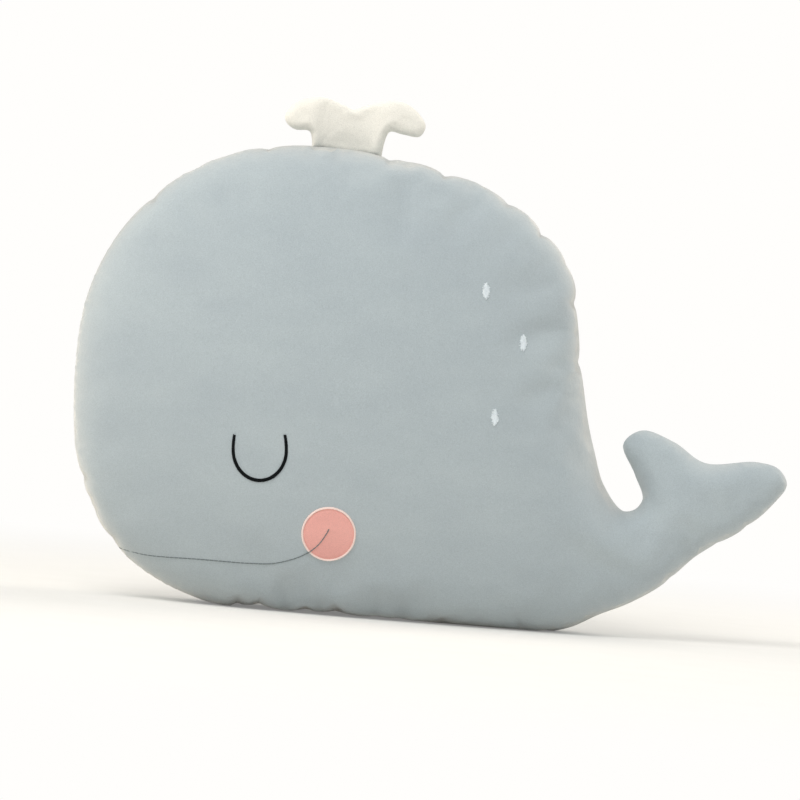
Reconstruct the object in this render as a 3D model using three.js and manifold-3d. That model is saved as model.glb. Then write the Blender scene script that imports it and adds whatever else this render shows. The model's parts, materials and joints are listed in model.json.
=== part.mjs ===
// Whale plush pillow in millimetres: X from nose to tail, the face looks along -Y, Z up from the floor.
import * as THREE from "three";
import { mergeVertices } from "three/addons/utils/BufferGeometryUtils.js";
import Module from "manifold-3d";

// Body outline: the four extremes of the side view, measured from the nose tip and the floor
const WHALE_LENGTH = 554.5;
const TAIL_LENGTH = 169.5;
const NOSE_HEIGHT = 186;
const CROWN_FROM_NOSE = 168;
const CROWN_HEIGHT = 357.5;
const RUMP_FROM_NOSE = WHALE_LENGTH - TAIL_LENGTH;
const RUMP_HEIGHT = 231;
const BELLY_FROM_NOSE = 240;
const BELLY_SINK = 9; // how far the belly would hang below the floor before it sits flat
const FOREHEAD_FULLNESS = 2.05; // 2 draws an ellipse, more draws a squarer corner
const BACK_FULLNESS = 2.3;
const CHIN_FULLNESS = 3;

// Tail edge, each point as distance behind the rump and height above the floor
const NECK_NOTCH = [58.5, 106];
const NECK_UNDERSIDE = [104, 66];
const FORE_FLUKE_TIP = [40.5, 148];
const AFT_FLUKE_TIP = [TAIL_LENGTH, 127];
const FLUKE_CLEAR = 10; // the tail is parted from the body this far in front of the fore fluke
const TAIL_EDGE = [
  [12, 166],
  [20, 139],
  [29, 115],
  [46, 97],
  NECK_NOTCH,
  [51, 126],
  FORE_FLUKE_TIP,
  [54, 160],
  [80, 153],
  [105, 139],
  [144, 143],
  [162, 139],
  AFT_FLUKE_TIP,
  [160, 111],
  [140, 90],
  NECK_UNDERSIDE,
  [83, 44],
  [56, 26],
  [33, 15],
  [9, 2.5],
  [-45, -7],
];

// Filling and cloth
const PILLOW_THICKNESS = 165;
const PUFF_POWER = 0.42; // lower is rounder at the seam and flatter in the middle
const CLOTH = 2;
const SEAM_FOLD = 1; // the folded edge stands this far in front of the seam
const SEAM_ALLOWANCE = 5;
const SEAM_GAP = 0.3;
const FIT_GAP = 0.3;
const OVERLOCK_BEAD = 1.8;
const OPENING_FROM_NOSE = 200;
const OPENING_LENGTH = 90;
const CLOSING_PITCH = 7;
const CLOSING_THREAD = 1;

// Tail neck, the soft band that bends
const NECK_BAND = 20;
const NECK_REACH = 53;
const NECK_CLIP = 3; // the seam allowance is clipped away this far past the band

// Spout: its edge round from the left end of its base, across and up from the middle of the seat
const SPOUT_FROM_NOSE = 195;
const SPOUT_THICKNESS = 27;
const SPOUT_STEM_HALF = 27;
const SPOUT_SEAT = 1.3;
const SPOUT_FLARE = 1; // the foot is sewn flat, and widens this much for each millimetre up
const SPOUT_CLOTH = 1.6;
const SPOUT_EDGE = [
  [-29.5, 9.5],
  [-41, 9.8],
  [-47.8, 13.8],
  [-49.8, 19.5],
  [-43.5, 29.6],
  [-24, 36.9],
  [2, 30.2],
  [10, 34],
  [31, 40.7],
  [45, 38.6],
  [58.5, 25],
  [55, 16],
  [31.5, 16.5],
];
const TAB_THICKNESS = 0.8;
const TAB_DEPTH = 6;
const TAB_STAND = 0.9;
const TAB_INSET = 3;

// Face embroidery, placed by distance behind the nose and height above the floor
const FACE_TILT = 4.75; // degrees, the face art is level when the pillow stands nose high
const EYE = [148.8, 122.7];
const EYE_HALF_WIDTH = 20.2;
const EYE_DEPTH = 24; // below the widest place
const EYE_RISE = 36; // how high the ends would meet if the curve went on
const EYE_LIFT = 18.6; // degrees, how far the ends rise above the middle of the curve
const EYE_STITCH = 2.5;
const EYE_RAISE = 1.3;
const CHEEK = [206, 63.3];
const CHEEK_RADIUS = 20.6;
const CHEEK_CLOTH = 1;
const CHEEK_BORDER = 1.8;
const CHEEK_RAISE = 1.3;
const MOUTH_START_HEIGHT = 36.9;
const MOUTH_SEAM_CLEAR = 9; // the line starts this far behind the seam under the nose
const MOUTH = [
  [69.6, 34.2],
  [109, 35],
  [147.5, 35.4],
  [163, 36.5],
  [176, 40],
  [189, 46],
  [199, 55],
  [206, 67.3],
];
const MOUTH_STITCH = 1.6;
const MOUTH_RAISE = 0.9;
const MOUTH_CLIMB_START = 7; // the line starts to climb onto the cheek this far from its edge
const MOUTH_CLIMB_END = 1.2;
// Flecks on the flank, each as distance in front of the rump and height above the floor
const FLECKS = {
  fleck_stitching_upper: [75, 256.7],
  fleck_stitching_middle: [43.6, 219.8],
  fleck_stitching_lower: [60.8, 162],
};
const FLECK_HALF_WIDTH = 2.6;
const FLECK_HALF_HEIGHT = 6.5;
const FLECK_RAISE = 0.9;

// Triangle sizes
const LONGEST_EDGE = 19;
const TURN_PER_EDGE = 14; // degrees
const LATTICE = 30;
const RIM_RINGS = [4, 13];
const SPOUT_LATTICE = 12;
const SPOUT_RINGS = [3];
const CURVE_SAMPLES = 900;
const SHEET_SWEEPS = 1500;

const FAR = 1000;
const wasm = await Module();
wasm.setup();
const radians = THREE.MathUtils.degToRad;

// Solids and back again
function solid(geometry) {
  const bare = geometry.clone();
  bare.deleteAttribute("normal");
  bare.deleteAttribute("uv");
  const merged = mergeVertices(bare, 1e-4);
  return new wasm.Manifold(
    new wasm.Mesh({
      numProp: 3,
      vertProperties: merged.attributes.position.array,
      triVerts: new Uint32Array(merged.index.array),
    }),
  );
}

function geometryOf(manifold) {
  const mesh = manifold.getMesh();
  return new THREE.BufferGeometry()
    .setAttribute("position", new THREE.BufferAttribute(mesh.vertProperties, 3))
    .setIndex(new THREE.BufferAttribute(mesh.triVerts, 1));
}

function geometryFrom(points, triangles) {
  return new THREE.BufferGeometry().setFromPoints(points).setIndex(triangles.flat());
}

// A side-view polygon given depth between two planes
function prism(polygon, nearY, farY) {
  const shape = new THREE.Shape(polygon);
  const geometry = new THREE.ExtrudeGeometry(shape, { depth: farY - nearY, bevelEnabled: false });
  return solid(geometry.rotateX(Math.PI / 2).translate(0, farY, 0));
}

function above(level) {
  return solid(new THREE.BoxGeometry(4 * FAR, FAR, FAR).translate(0, 0, level + FAR / 2));
}

// Side-view outlines
function quarter(centre, across, up, fullness, startAngle) {
  const steps = 6;
  const bow = (value) => Math.sign(value) * Math.abs(value) ** (2 / fullness);
  return Array.from({ length: steps }, (_, i) => {
    const angle = radians(startAngle - (90 * i) / steps);
    return new THREE.Vector2(
      centre[0] + across * bow(Math.cos(angle)),
      centre[1] + up * bow(Math.sin(angle)),
    );
  });
}

function behindRump([along, height]) {
  return new THREE.Vector2(RUMP_FROM_NOSE + along, height);
}

function bodyCurve() {
  const forehead = quarter(
    [CROWN_FROM_NOSE, NOSE_HEIGHT],
    CROWN_FROM_NOSE,
    CROWN_HEIGHT - NOSE_HEIGHT,
    FOREHEAD_FULLNESS,
    180,
  );
  const back = quarter(
    [CROWN_FROM_NOSE, RUMP_HEIGHT],
    RUMP_FROM_NOSE - CROWN_FROM_NOSE,
    CROWN_HEIGHT - RUMP_HEIGHT,
    BACK_FULLNESS,
    90,
  );
  const chin = quarter(
    [BELLY_FROM_NOSE, NOSE_HEIGHT],
    BELLY_FROM_NOSE,
    NOSE_HEIGHT + BELLY_SINK,
    CHIN_FULLNESS,
    270,
  );
  const tail = [[0, RUMP_HEIGHT], ...TAIL_EDGE].map(behindRump);
  const points = [...forehead, ...back, ...tail, ...chin];
  const flat = points.map((point) => new THREE.Vector3(point.x, point.y, 0));
  return new THREE.CatmullRomCurve3(flat, true, "centripetal");
}

// Stations round a curve, close together where it turns and far apart where it runs straight, anticlockwise
function stations(curve, longest) {
  const fine = curve.getSpacedPoints(CURVE_SAMPLES).slice(0, -1);
  const kept = [fine[0]];
  let run = 0;
  let turn = 0;
  for (let i = 1; i < fine.length; i++) {
    const before = fine[i].clone().sub(fine[i - 1]);
    const after = fine[(i + 1) % fine.length].clone().sub(fine[i]);
    run += before.length();
    turn += before.angleTo(after);
    if (run >= longest || turn >= radians(TURN_PER_EDGE)) {
      kept.push(fine[i]);
      run = 0;
      turn = 0;
    }
  }
  const flat = kept.map((point) => new THREE.Vector2(point.x, point.y));
  return THREE.ShapeUtils.isClockWise(flat) ? flat.reverse() : flat;
}

function outwardAt(rim, i) {
  const into = rim[i].clone().sub(rim[(i + rim.length - 1) % rim.length]).normalize();
  const outOf = rim[(i + 1) % rim.length].clone().sub(rim[i]).normalize();
  const along = into.add(outOf).normalize();
  return new THREE.Vector2(along.y, -along.x);
}

function distanceTo(rim, point) {
  let nearest = Infinity;
  rim.forEach((from, i) => {
    const edge = rim[(i + 1) % rim.length].clone().sub(from);
    const share = THREE.MathUtils.clamp(point.clone().sub(from).dot(edge) / edge.lengthSq(), 0, 1);
    nearest = Math.min(nearest, from.clone().addScaledVector(edge, share).distanceTo(point));
  });
  return nearest;
}

function inside(rim, point) {
  let within = false;
  rim.forEach((a, i) => {
    const b = rim[(i + 1) % rim.length];
    const crosses = a.y > point.y !== b.y > point.y;
    if (crosses && point.x < a.x + ((b.x - a.x) * (point.y - a.y)) / (b.y - a.y)) within = !within;
  });
  return within;
}

// The rim moved inwards, without the points that would cross over one another in a tight turn
function inset(rim, distance) {
  const moved = [];
  rim.forEach((point, i) => {
    const edge = rim[(i + 1) % rim.length].clone().sub(point).normalize();
    const outward = outwardAt(rim, i);
    const reach = distance / Math.abs(outward.cross(edge));
    const place = point.clone().addScaledVector(outward, -reach);
    if (!inside(rim, place) || distanceTo(rim, place) < 0.99 * distance) return;
    if (moved.every((other) => other.distanceTo(place) > FIT_GAP)) moved.push(place);
  });
  return moved;
}

// Triangles between scattered points, each with an empty circle round its corners
function delaunay(points) {
  const corners = [
    new THREE.Vector2(-9 * FAR, -9 * FAR),
    new THREE.Vector2(9 * FAR, -9 * FAR),
    new THREE.Vector2(0, 9 * FAR),
  ];
  const all = [...points, ...corners];
  const circle = (a, b, c) => {
    const ab = all[b].clone().sub(all[a]);
    const ac = all[c].clone().sub(all[a]);
    const twice = 2 * ab.cross(ac);
    const x = (ac.y * ab.lengthSq() - ab.y * ac.lengthSq()) / twice;
    const y = (ab.x * ac.lengthSq() - ac.x * ab.lengthSq()) / twice;
    return { corners: [a, b, c], x: all[a].x + x, y: all[a].y + y, square: x * x + y * y };
  };
  let triangles = [circle(points.length, points.length + 1, points.length + 2)];
  points.forEach((point, index) => {
    const hole = new Map();
    triangles = triangles.filter((triangle) => {
      if ((point.x - triangle.x) ** 2 + (point.y - triangle.y) ** 2 >= triangle.square) return true;
      const [a, b, c] = triangle.corners;
      for (const [from, to] of [[a, b], [b, c], [c, a]]) {
        if (!hole.delete(to + "_" + from)) hole.set(from + "_" + to, [from, to]);
      }
      return false;
    });
    for (const [from, to] of hole.values()) triangles.push(circle(from, to, index));
  });
  return triangles.map((triangle) => triangle.corners).filter((t) => Math.max(...t) < points.length);
}

// A cut panel: its rim, the points over it, and the height the filling lifts each to, if nothing holds it
function cutPanel(rim, thickness, lattice, rings, held = () => Infinity) {
  const points = [...rim];
  const add = (point, clear, apart) => {
    if (!inside(rim, point) || distanceTo(rim, point) < clear) return;
    if (points.every((other) => other.distanceTo(point) > apart)) points.push(point);
  };
  for (const ring of rings) {
    rim.forEach((point, i) => {
      add(point.clone().addScaledVector(outwardAt(rim, i), -ring), 0.9 * ring, 0.6 * ring);
    });
  }
  const box = new THREE.Box2().setFromPoints(rim);
  const row = (lattice * Math.sqrt(3)) / 2;
  for (let j = 0; box.min.y + j * row < box.max.y; j++) {
    for (let x = box.min.x + (j % 2) * (lattice / 2); x < box.max.x; x += lattice) {
      add(new THREE.Vector2(x, box.min.y + j * row), rings.at(-1) + 0.35 * lattice, 0.5 * lattice);
    }
  }
  const triangles = delaunay(points).filter((corners) => {
    const middle = new THREE.Vector2();
    corners.forEach((i) => middle.addScaledVector(points[i], 1 / 3));
    return inside(rim, middle);
  });
  const lift = stretchedSheet(points, triangles, rim.length);
  const highest = Math.max(...lift);
  const rise = thickness / 2 - SEAM_GAP / 2 - SEAM_FOLD;
  const free = lift.map((value) => rise * (value / highest) ** PUFF_POWER);
  const heights = free.map((height, i) => SEAM_FOLD + Math.min(height, held(points[i])));
  const panel = { rim, points, triangles, heights };
  panel.normals = frontNormals(panel);
  return panel;
}

// How far an evenly pressed sheet, held at its rim, rises at each point
function stretchedSheet(points, triangles, rimCount) {
  const links = points.map(() => new Map());
  const share = points.map(() => 0);
  for (const corners of triangles) {
    corners.forEach((a, k) => {
      const b = corners[(k + 1) % 3];
      const c = corners[(k + 2) % 3];
      const ca = points[a].clone().sub(points[c]);
      const cb = points[b].clone().sub(points[c]);
      const pull = ca.dot(cb) / (2 * Math.abs(ca.cross(cb)));
      links[a].set(b, (links[a].get(b) ?? 0) + pull);
      links[b].set(a, (links[b].get(a) ?? 0) + pull);
      share[a] += Math.abs(ca.cross(cb)) / 6;
    });
  }
  const lift = points.map(() => 0);
  for (let sweep = 0; sweep < SHEET_SWEEPS; sweep++) {
    for (let i = rimCount; i < points.length; i++) {
      let held = share[i];
      let pull = 0;
      links[i].forEach((weight, j) => {
        const used = Math.max(weight, 0.01);
        held += used * lift[j];
        pull += used;
      });
      lift[i] = held / pull;
    }
  }
  return lift;
}

function frontPoint(panel, i) {
  return new THREE.Vector3(panel.points[i].x, -SEAM_GAP / 2 - panel.heights[i], panel.points[i].y);
}

function frontNormals(panel) {
  const sums = panel.points.map(() => new THREE.Vector3());
  for (const corners of panel.triangles) {
    const [a, b, c] = corners.map((i) => frontPoint(panel, i));
    const facing = b.sub(a).cross(c.sub(a));
    corners.forEach((i) => sums[i].add(facing));
  }
  panel.rim.forEach((_, i) => {
    const outward = outwardAt(panel.rim, i);
    sums[i].set(outward.x, 0, outward.y);
  });
  return sums.map((sum) => sum.normalize());
}

// The front of the pillow, moved in by a number of millimetres, and closed by a flat back
function frontHalf(panel, inward, backY) {
  const face = panel.points.map((_, i) => frontPoint(panel, i).addScaledVector(panel.normals[i], -inward));
  const back = face.map((point) => new THREE.Vector3(point.x, backY, point.z));
  return solid(geometryFrom([...face, ...back], closedTriangles(panel, face.length)));
}

// The whole pillow, moved in on both faces
function bothHalves(panel, inward) {
  const face = panel.points.map((_, i) => frontPoint(panel, i).addScaledVector(panel.normals[i], -inward));
  const back = face.map((point) => new THREE.Vector3(point.x, -point.y, point.z));
  return solid(geometryFrom([...face, ...back], closedTriangles(panel, face.length)));
}

function closedTriangles(panel, count) {
  const triangles = [];
  for (const [a, b, c] of panel.triangles) {
    triangles.push([a, b, c], [a + count, c + count, b + count]);
  }
  panel.rim.forEach((_, i) => {
    const next = (i + 1) % panel.rim.length;
    triangles.push([next, i, i + count], [next, i + count, next + count]);
  });
  return triangles;
}

function mirrored(manifold) {
  const geometry = geometryOf(manifold).scale(1, -1, 1);
  const index = geometry.index.array;
  for (let i = 0; i < index.length; i += 3) [index[i], index[i + 1]] = [index[i + 1], index[i]];
  return solid(geometry);
}

// The front face as faceted: where a side-view point lies on it, and which way it faces there
function onFront(panel, x, z) {
  const point = new THREE.Vector2(x, z);
  for (const corners of panel.triangles) {
    const [a, b, c] = corners.map((i) => panel.points[i]);
    const whole = b.clone().sub(a).cross(c.clone().sub(a));
    const v = point.clone().sub(a).cross(c.clone().sub(a)) / whole;
    const w = b.clone().sub(a).cross(point.clone().sub(a)) / whole;
    if (v < -1e-6 || w < -1e-6 || v + w > 1 + 1e-6) continue;
    const weights = [1 - v - w, v, w];
    const place = new THREE.Vector3();
    const normal = new THREE.Vector3();
    corners.forEach((i, k) => {
      place.addScaledVector(frontPoint(panel, i), weights[k]);
      normal.addScaledVector(panel.normals[i], weights[k]);
    });
    const facet = new THREE.Triangle(...corners.map((i) => frontPoint(panel, i)));
    return { place, normal: normal.normalize(), facing: facet.getNormal(new THREE.Vector3()) };
  }
  throw new Error(`the point ${x}, ${z} is off the front panel`);
}

// A raised band of stitches along a line on the front face
function stitchedBand(panel, line, width, raise, lift, closed) {
  const flat = line.map(([x, z]) => onFront(panel, x, z));
  const count = flat.length;
  const points = [];
  flat.forEach(({ place, normal }, i) => {
    const before = flat[closed ? (i + count - 1) % count : Math.max(i - 1, 0)].place;
    const after = flat[closed ? (i + 1) % count : Math.min(i + 1, count - 1)].place;
    const along = after.clone().sub(before).normalize();
    const across = along.cross(normal).setLength(width / 2);
    const foot = (side) => {
      const under = onFront(panel, place.x + side * across.x, place.z + side * across.z);
      return under.place.addScaledVector(under.facing, FIT_GAP + lift(line[i]));
    };
    const left = foot(-1);
    const right = foot(1);
    for (const [share, height] of [[0, 0], [1, 0], [0.95, 0.6], [0.7, 1], [0.3, 1], [0.05, 0.6]]) {
      points.push(left.clone().lerp(right, share).addScaledVector(normal, height * raise));
    }
  });
  const ring = 6;
  const triangles = [];
  for (let i = 0; i < (closed ? count : count - 1); i++) {
    for (let k = 0; k < ring; k++) {
      const a = i * ring + k;
      const b = i * ring + ((k + 1) % ring);
      const c = ((i + 1) % count) * ring + k;
      const d = ((i + 1) % count) * ring + ((k + 1) % ring);
      triangles.push([a, c, b], [b, c, d]);
    }
  }
  if (!closed) {
    const last = (count - 1) * ring;
    for (let k = 1; k < ring - 1; k++) {
      triangles.push([0, k, k + 1], [last, last + k + 1, last + k]);
    }
  }
  return outwardSolid(points, triangles);
}

// A thin oval pad that follows the front face
function drapedOval(panel, centre, halfWidth, halfHeight, tilt, thickness) {
  const sectors = 20;
  const rings = [0.4, 0.75, 1];
  const spots = [[0, 0]];
  for (const ring of rings) {
    for (let k = 0; k < sectors; k++) {
      const angle = (2 * Math.PI * k) / sectors;
      spots.push([ring * halfWidth * Math.cos(angle), ring * halfHeight * Math.sin(angle)]);
    }
  }
  const turn = radians(tilt);
  const seats = spots.map(([u, v]) => {
    const x = centre[0] + u * Math.cos(turn) - v * Math.sin(turn);
    const z = centre[1] + u * Math.sin(turn) + v * Math.cos(turn);
    return onFront(panel, x, z);
  });
  const under = seats.map(({ place, facing }) => place.clone().addScaledVector(facing, FIT_GAP));
  const over = seats.map(({ normal }, i) => {
    const thin = i > spots.length - 1 - sectors ? 0.6 : 1;
    return under[i].clone().addScaledVector(normal, thickness * thin);
  });
  const triangles = [];
  const count = spots.length;
  for (let k = 0; k < sectors; k++) {
    const next = (k + 1) % sectors;
    const faces = [[0, 1 + k, 1 + next]];
    for (let r = 0; r < rings.length - 1; r++) {
      const inner = 1 + r * sectors;
      const outer = inner + sectors;
      faces.push([inner + k, outer + k, outer + next], [inner + k, outer + next, inner + next]);
    }
    for (const [a, b, c] of faces) triangles.push([a + count, b + count, c + count], [a, c, b]);
    const edge = 1 + (rings.length - 1) * sectors;
    triangles.push([edge + k, edge + next, edge + k + count]);
    triangles.push([edge + next, edge + next + count, edge + k + count]);
  }
  return outwardSolid([...under, ...over], triangles);
}

function outwardSolid(points, triangles) {
  const made = solid(geometryFrom(points, triangles));
  if (made.volume() > 0) return made;
  return solid(geometryFrom(points, triangles.map(([a, b, c]) => [a, c, b])));
}

// Body panel, and the outline it takes when the belly sits flat on the floor
const bodyLine = bodyCurve();
const panel = cutPanel(stations(bodyLine, LONGEST_EDGE), PILLOW_THICKNESS, LATTICE, RIM_RINGS);
const seated = panel.rim.map((point) => new THREE.Vector2(point.x, Math.max(point.y, 0)));
const bounds = new THREE.Box2().setFromPoints(seated);

// Tail neck: the middle of the hinge line, the line itself and the way out along the tail
const neckTop = behindRump(NECK_NOTCH);
const neckUnder = behindRump(NECK_UNDERSIDE);
const neck = neckTop.clone().add(neckUnder).multiplyScalar(0.5);
const neckLine = neckUnder.clone().sub(neckTop).normalize();
const tailward = new THREE.Vector2(-neckLine.y, neckLine.x);
const slot = behindRump([FORE_FLUKE_TIP[0] - FLUKE_CLEAR, FORE_FLUKE_TIP[1]]);

function tailSide(from) {
  const start = neck.clone().addScaledVector(tailward, from);
  const polygon = [
    start.clone().addScaledVector(neckLine, -NECK_REACH),
    start.clone().addScaledVector(neckLine, NECK_REACH),
    new THREE.Vector2(FAR, -FAR / 10),
    new THREE.Vector2(FAR, FAR),
    new THREE.Vector2(slot.x, FAR),
    slot,
  ];
  return prism(polygon, -FAR, FAR);
}

const half = NECK_BAND / 2;
const beyondBody = tailSide(-half - FIT_GAP);
const beyondNeckStart = tailSide(-half);
const beyondNeckEnd = tailSide(half);
const beyondGap = tailSide(half + FIT_GAP);
const inBody = (whole) => whole.subtract(beyondBody);
const inNeck = (whole) => whole.intersect(beyondNeckStart).subtract(beyondNeckEnd);
const inTail = (whole) => whole.intersect(beyondGap);
const clipped = tailSide(-half - NECK_CLIP).subtract(tailSide(half + NECK_CLIP));

// Spout seat on the top seam, as a frame across and up from the seam
const seatAt = spotAbove(SPOUT_FROM_NOSE);

function spotOnSeam(wanted, away) {
  const stretch = bodyLine.getSpacedPoints(CURVE_SAMPLES).filter(wanted);
  return stretch.reduce((best, point) => (away(point) < away(best) ? point : best));
}

function spotAbove(x) {
  return spotOnSeam((point) => point.y > RUMP_HEIGHT, (point) => Math.abs(point.x - x));
}

function spotUnderNose(height) {
  const chin = (point) => point.x < BELLY_FROM_NOSE && point.y < NOSE_HEIGHT;
  return spotOnSeam(chin, (point) => Math.abs(point.y - height));
}

function seatAngle() {
  const left = spotAbove(SPOUT_FROM_NOSE - SPOUT_STEM_HALF);
  const right = spotAbove(SPOUT_FROM_NOSE + SPOUT_STEM_HALF);
  return Math.atan2(right.y - left.y, right.x - left.x);
}

const seat = new THREE.Matrix4()
  .makeRotationY(-seatAngle())
  .setPosition(seatAt.x, 0, seatAt.y);

// Root tab of the spout, caught between the two folded edges of the body seam
function tabBox(slack) {
  const width = 2 * (SPOUT_STEM_HALF - TAB_INSET) + 2 * slack;
  const height = TAB_DEPTH + TAB_STAND + slack;
  const box = new THREE.BoxGeometry(width, TAB_THICKNESS + 2 * slack, height);
  return solid(box.translate(0, 0, TAB_STAND - height / 2).applyMatrix4(seat));
}

const tab = tabBox(0);
const tabSlot = tabBox(FIT_GAP);

// Front panel: outer face less the filling's room, with its seam allowance turned in
const clothInset = CLOTH + SEAM_ALLOWANCE;
const outer = frontHalf(panel, 0, -SEAM_GAP / 2).intersect(above(0));
const room = frontHalf(panel, CLOTH, CLOTH).intersect(above(CLOTH));
const allowance = prism(inset(seated, CLOTH / 2), -SEAM_GAP / 2 - CLOTH, -SEAM_GAP / 2)
  .subtract(prism(inset(seated, clothInset), -FAR, FAR))
  .intersect(outer)
  .subtract(clipped);
const frontPanel = outer.subtract(room).add(allowance).subtract(tabSlot);
const backPanel = mirrored(frontPanel);

// Overlocking on the raw edges, left open under the belly where the stuffing goes in
const beadInner = clothInset + FIT_GAP + OVERLOCK_BEAD;
const opening = prism(
  [
    new THREE.Vector2(OPENING_FROM_NOSE, 0),
    new THREE.Vector2(OPENING_FROM_NOSE + OPENING_LENGTH, 0),
    new THREE.Vector2(OPENING_FROM_NOSE + OPENING_LENGTH, NOSE_HEIGHT),
    new THREE.Vector2(OPENING_FROM_NOSE, NOSE_HEIGHT),
  ],
  -FAR,
  FAR,
);
const bead = prism(inset(seated, clothInset + FIT_GAP), -OVERLOCK_BEAD, OVERLOCK_BEAD)
  .subtract(prism(inset(seated, beadInner), -FAR, FAR))
  .subtract(opening)
  .subtract(clipped);
const bodyBeads = inBody(bead)
  .decompose()
  .sort((a, b) => b.volume() - a.volume());

// Stuffing: the room inside both panels, less the folded seam that stands into it
const stuffingInset = CLOTH + FIT_GAP;
const seamRoom = Math.max(OVERLOCK_BEAD, SEAM_GAP / 2 + CLOTH, CLOSING_PITCH / 4 + CLOSING_THREAD);
const seamStrip = prism(seated, -seamRoom - FIT_GAP, seamRoom + FIT_GAP)
  .subtract(prism(inset(seated, beadInner + FIT_GAP), -FAR, FAR))
  .subtract(clipped);
const stuffing = bothHalves(panel, stuffingInset).intersect(above(stuffingInset)).subtract(seamStrip);

// Closing stitches: one thread laced from fold to fold across the opening
function closingThread() {
  const steps = Math.floor((OPENING_LENGTH - 2 * CLOSING_PITCH) / CLOSING_PITCH) * 2;
  const level = clothInset + FIT_GAP + CLOSING_THREAD / 2;
  const points = Array.from({ length: steps + 1 }, (_, i) => {
    const x = OPENING_FROM_NOSE + CLOSING_PITCH + (i * CLOSING_PITCH) / 2;
    return new THREE.Vector3(x, i % 2 ? CLOSING_PITCH / 4 : -CLOSING_PITCH / 4, level);
  });
  const path = new THREE.CatmullRomCurve3(points);
  const section = new THREE.Shape();
  section.absarc(0, 0, CLOSING_THREAD / 2, 0, 2 * Math.PI);
  const options = { extrudePath: path, steps: 2 * steps, curveSegments: 3, bevelEnabled: false };
  return solid(new THREE.ExtrudeGeometry(section, options));
}

// Spout: two white panels and their filling, standing on the tab
function spoutCurve() {
  const points = [[-SPOUT_STEM_HALF, 0], ...SPOUT_EDGE, [SPOUT_STEM_HALF, 0]];
  const raised = points.map(([u, v]) => new THREE.Vector3(u, v + SPOUT_SEAT, 0));
  const path = new THREE.CurvePath();
  path.add(new THREE.CatmullRomCurve3(raised, false, "centripetal"));
  path.add(new THREE.LineCurve3(raised.at(-1), raised[0]));
  return path;
}

const spoutRim = stations(spoutCurve(), SPOUT_LATTICE);
const sewnFoot = (point) => SPOUT_FLARE * (point.y - SPOUT_SEAT);
const spoutPanel = cutPanel(spoutRim, SPOUT_THICKNESS, SPOUT_LATTICE, SPOUT_RINGS, sewnFoot);
const spoutSkin = frontHalf(spoutPanel, 0, -SEAM_GAP / 2)
  .subtract(frontHalf(spoutPanel, SPOUT_CLOTH, SPOUT_CLOTH));
const spoutFill = bothHalves(spoutPanel, SPOUT_CLOTH + FIT_GAP);

// Eye, mouth, cheek and flecks
function eyeLine() {
  const steps = 26;
  const turn = radians(FACE_TILT);
  return Array.from({ length: steps + 1 }, (_, i) => {
    const angle = radians(180 - EYE_LIFT + ((180 + 2 * EYE_LIFT) * i) / steps);
    const u = EYE_HALF_WIDTH * Math.cos(angle);
    const v = (Math.sin(angle) < 0 ? EYE_DEPTH : EYE_RISE) * Math.sin(angle);
    return [
      EYE[0] + u * Math.cos(turn) - v * Math.sin(turn),
      EYE[1] + u * Math.sin(turn) + v * Math.cos(turn),
    ];
  });
}

function cheekLine() {
  const steps = 32;
  const radius = CHEEK_RADIUS - CHEEK_BORDER / 2;
  return Array.from({ length: steps }, (_, i) => {
    const angle = (2 * Math.PI * i) / steps;
    return [CHEEK[0] + radius * Math.cos(angle), CHEEK[1] + radius * Math.sin(angle)];
  });
}

function mouthLine() {
  const seam = spotUnderNose(MOUTH_START_HEIGHT);
  const start = [seam.x + MOUTH_SEAM_CLEAR, seam.y];
  const through = [start, ...MOUTH].map(([x, z]) => new THREE.Vector3(x, z, 0));
  const path = new THREE.CatmullRomCurve3(through, false, "centripetal");
  return path.getSpacedPoints(60).map((point) => [point.x, point.y]);
}

function overCheek([x, z]) {
  const away = Math.hypot(x - CHEEK[0], z - CHEEK[1]) - CHEEK_RADIUS;
  const climb = 1 - THREE.MathUtils.smoothstep(away, MOUTH_CLIMB_END, MOUTH_CLIMB_START);
  return (CHEEK_RAISE + FIT_GAP) * climb;
}

const none = () => 0;
const patchRadius = CHEEK_RADIUS - CHEEK_BORDER - FIT_GAP;

// Materials
function cloth(colour, roughness = 0.95) {
  return new THREE.MeshStandardMaterial({ color: colour, roughness, metalness: 0 });
}

const greyVelvet = cloth(0xaeb9bb);
const whiteVelvet = cloth(0xebe8dd);
const pinkVelvet = cloth(0xe1a99a);
const fibre = cloth(0xf1efe8);
const greyThread = cloth(0x8d9696, 0.7);
const blackThread = cloth(0x252c2c, 0.55);
const pinkThread = cloth(0xecb8ac, 0.6);
const whiteThread = cloth(0xdfe5e4, 0.6);

// Assembly
const whale = new THREE.Group();

function place(name, made, material) {
  const mesh = new THREE.Mesh(geometryOf(made), material);
  mesh.name = name;
  whale.add(mesh);
  return mesh;
}

place("front_panel_body", inBody(frontPanel), greyVelvet);
place("front_panel_neck", inNeck(frontPanel), greyVelvet);
place("front_panel_tail", inTail(frontPanel), greyVelvet);
place("back_panel_body", inBody(backPanel), greyVelvet);
place("back_panel_neck", inNeck(backPanel), greyVelvet);
place("back_panel_tail", inTail(backPanel), greyVelvet);
place("stuffing_body", inBody(stuffing), fibre);
place("stuffing_neck", inNeck(stuffing), fibre);
place("stuffing_tail", inTail(stuffing), fibre);
place("seam_overlock_back", bodyBeads[0], greyThread);
place("seam_overlock_belly", bodyBeads[1], greyThread);
place("seam_overlock_tail", inTail(bead), greyThread);
place("closing_stitches", closingThread(), greyThread);
place("spout_root_tab", tab, whiteVelvet);
place("spout_front_panel", spoutSkin, whiteVelvet).applyMatrix4(seat);
place("spout_back_panel", mirrored(spoutSkin), whiteVelvet).applyMatrix4(seat);
place("spout_stuffing", spoutFill, fibre).applyMatrix4(seat);
place("eye_stitching", stitchedBand(panel, eyeLine(), EYE_STITCH, EYE_RAISE, none, false), blackThread);
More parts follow.
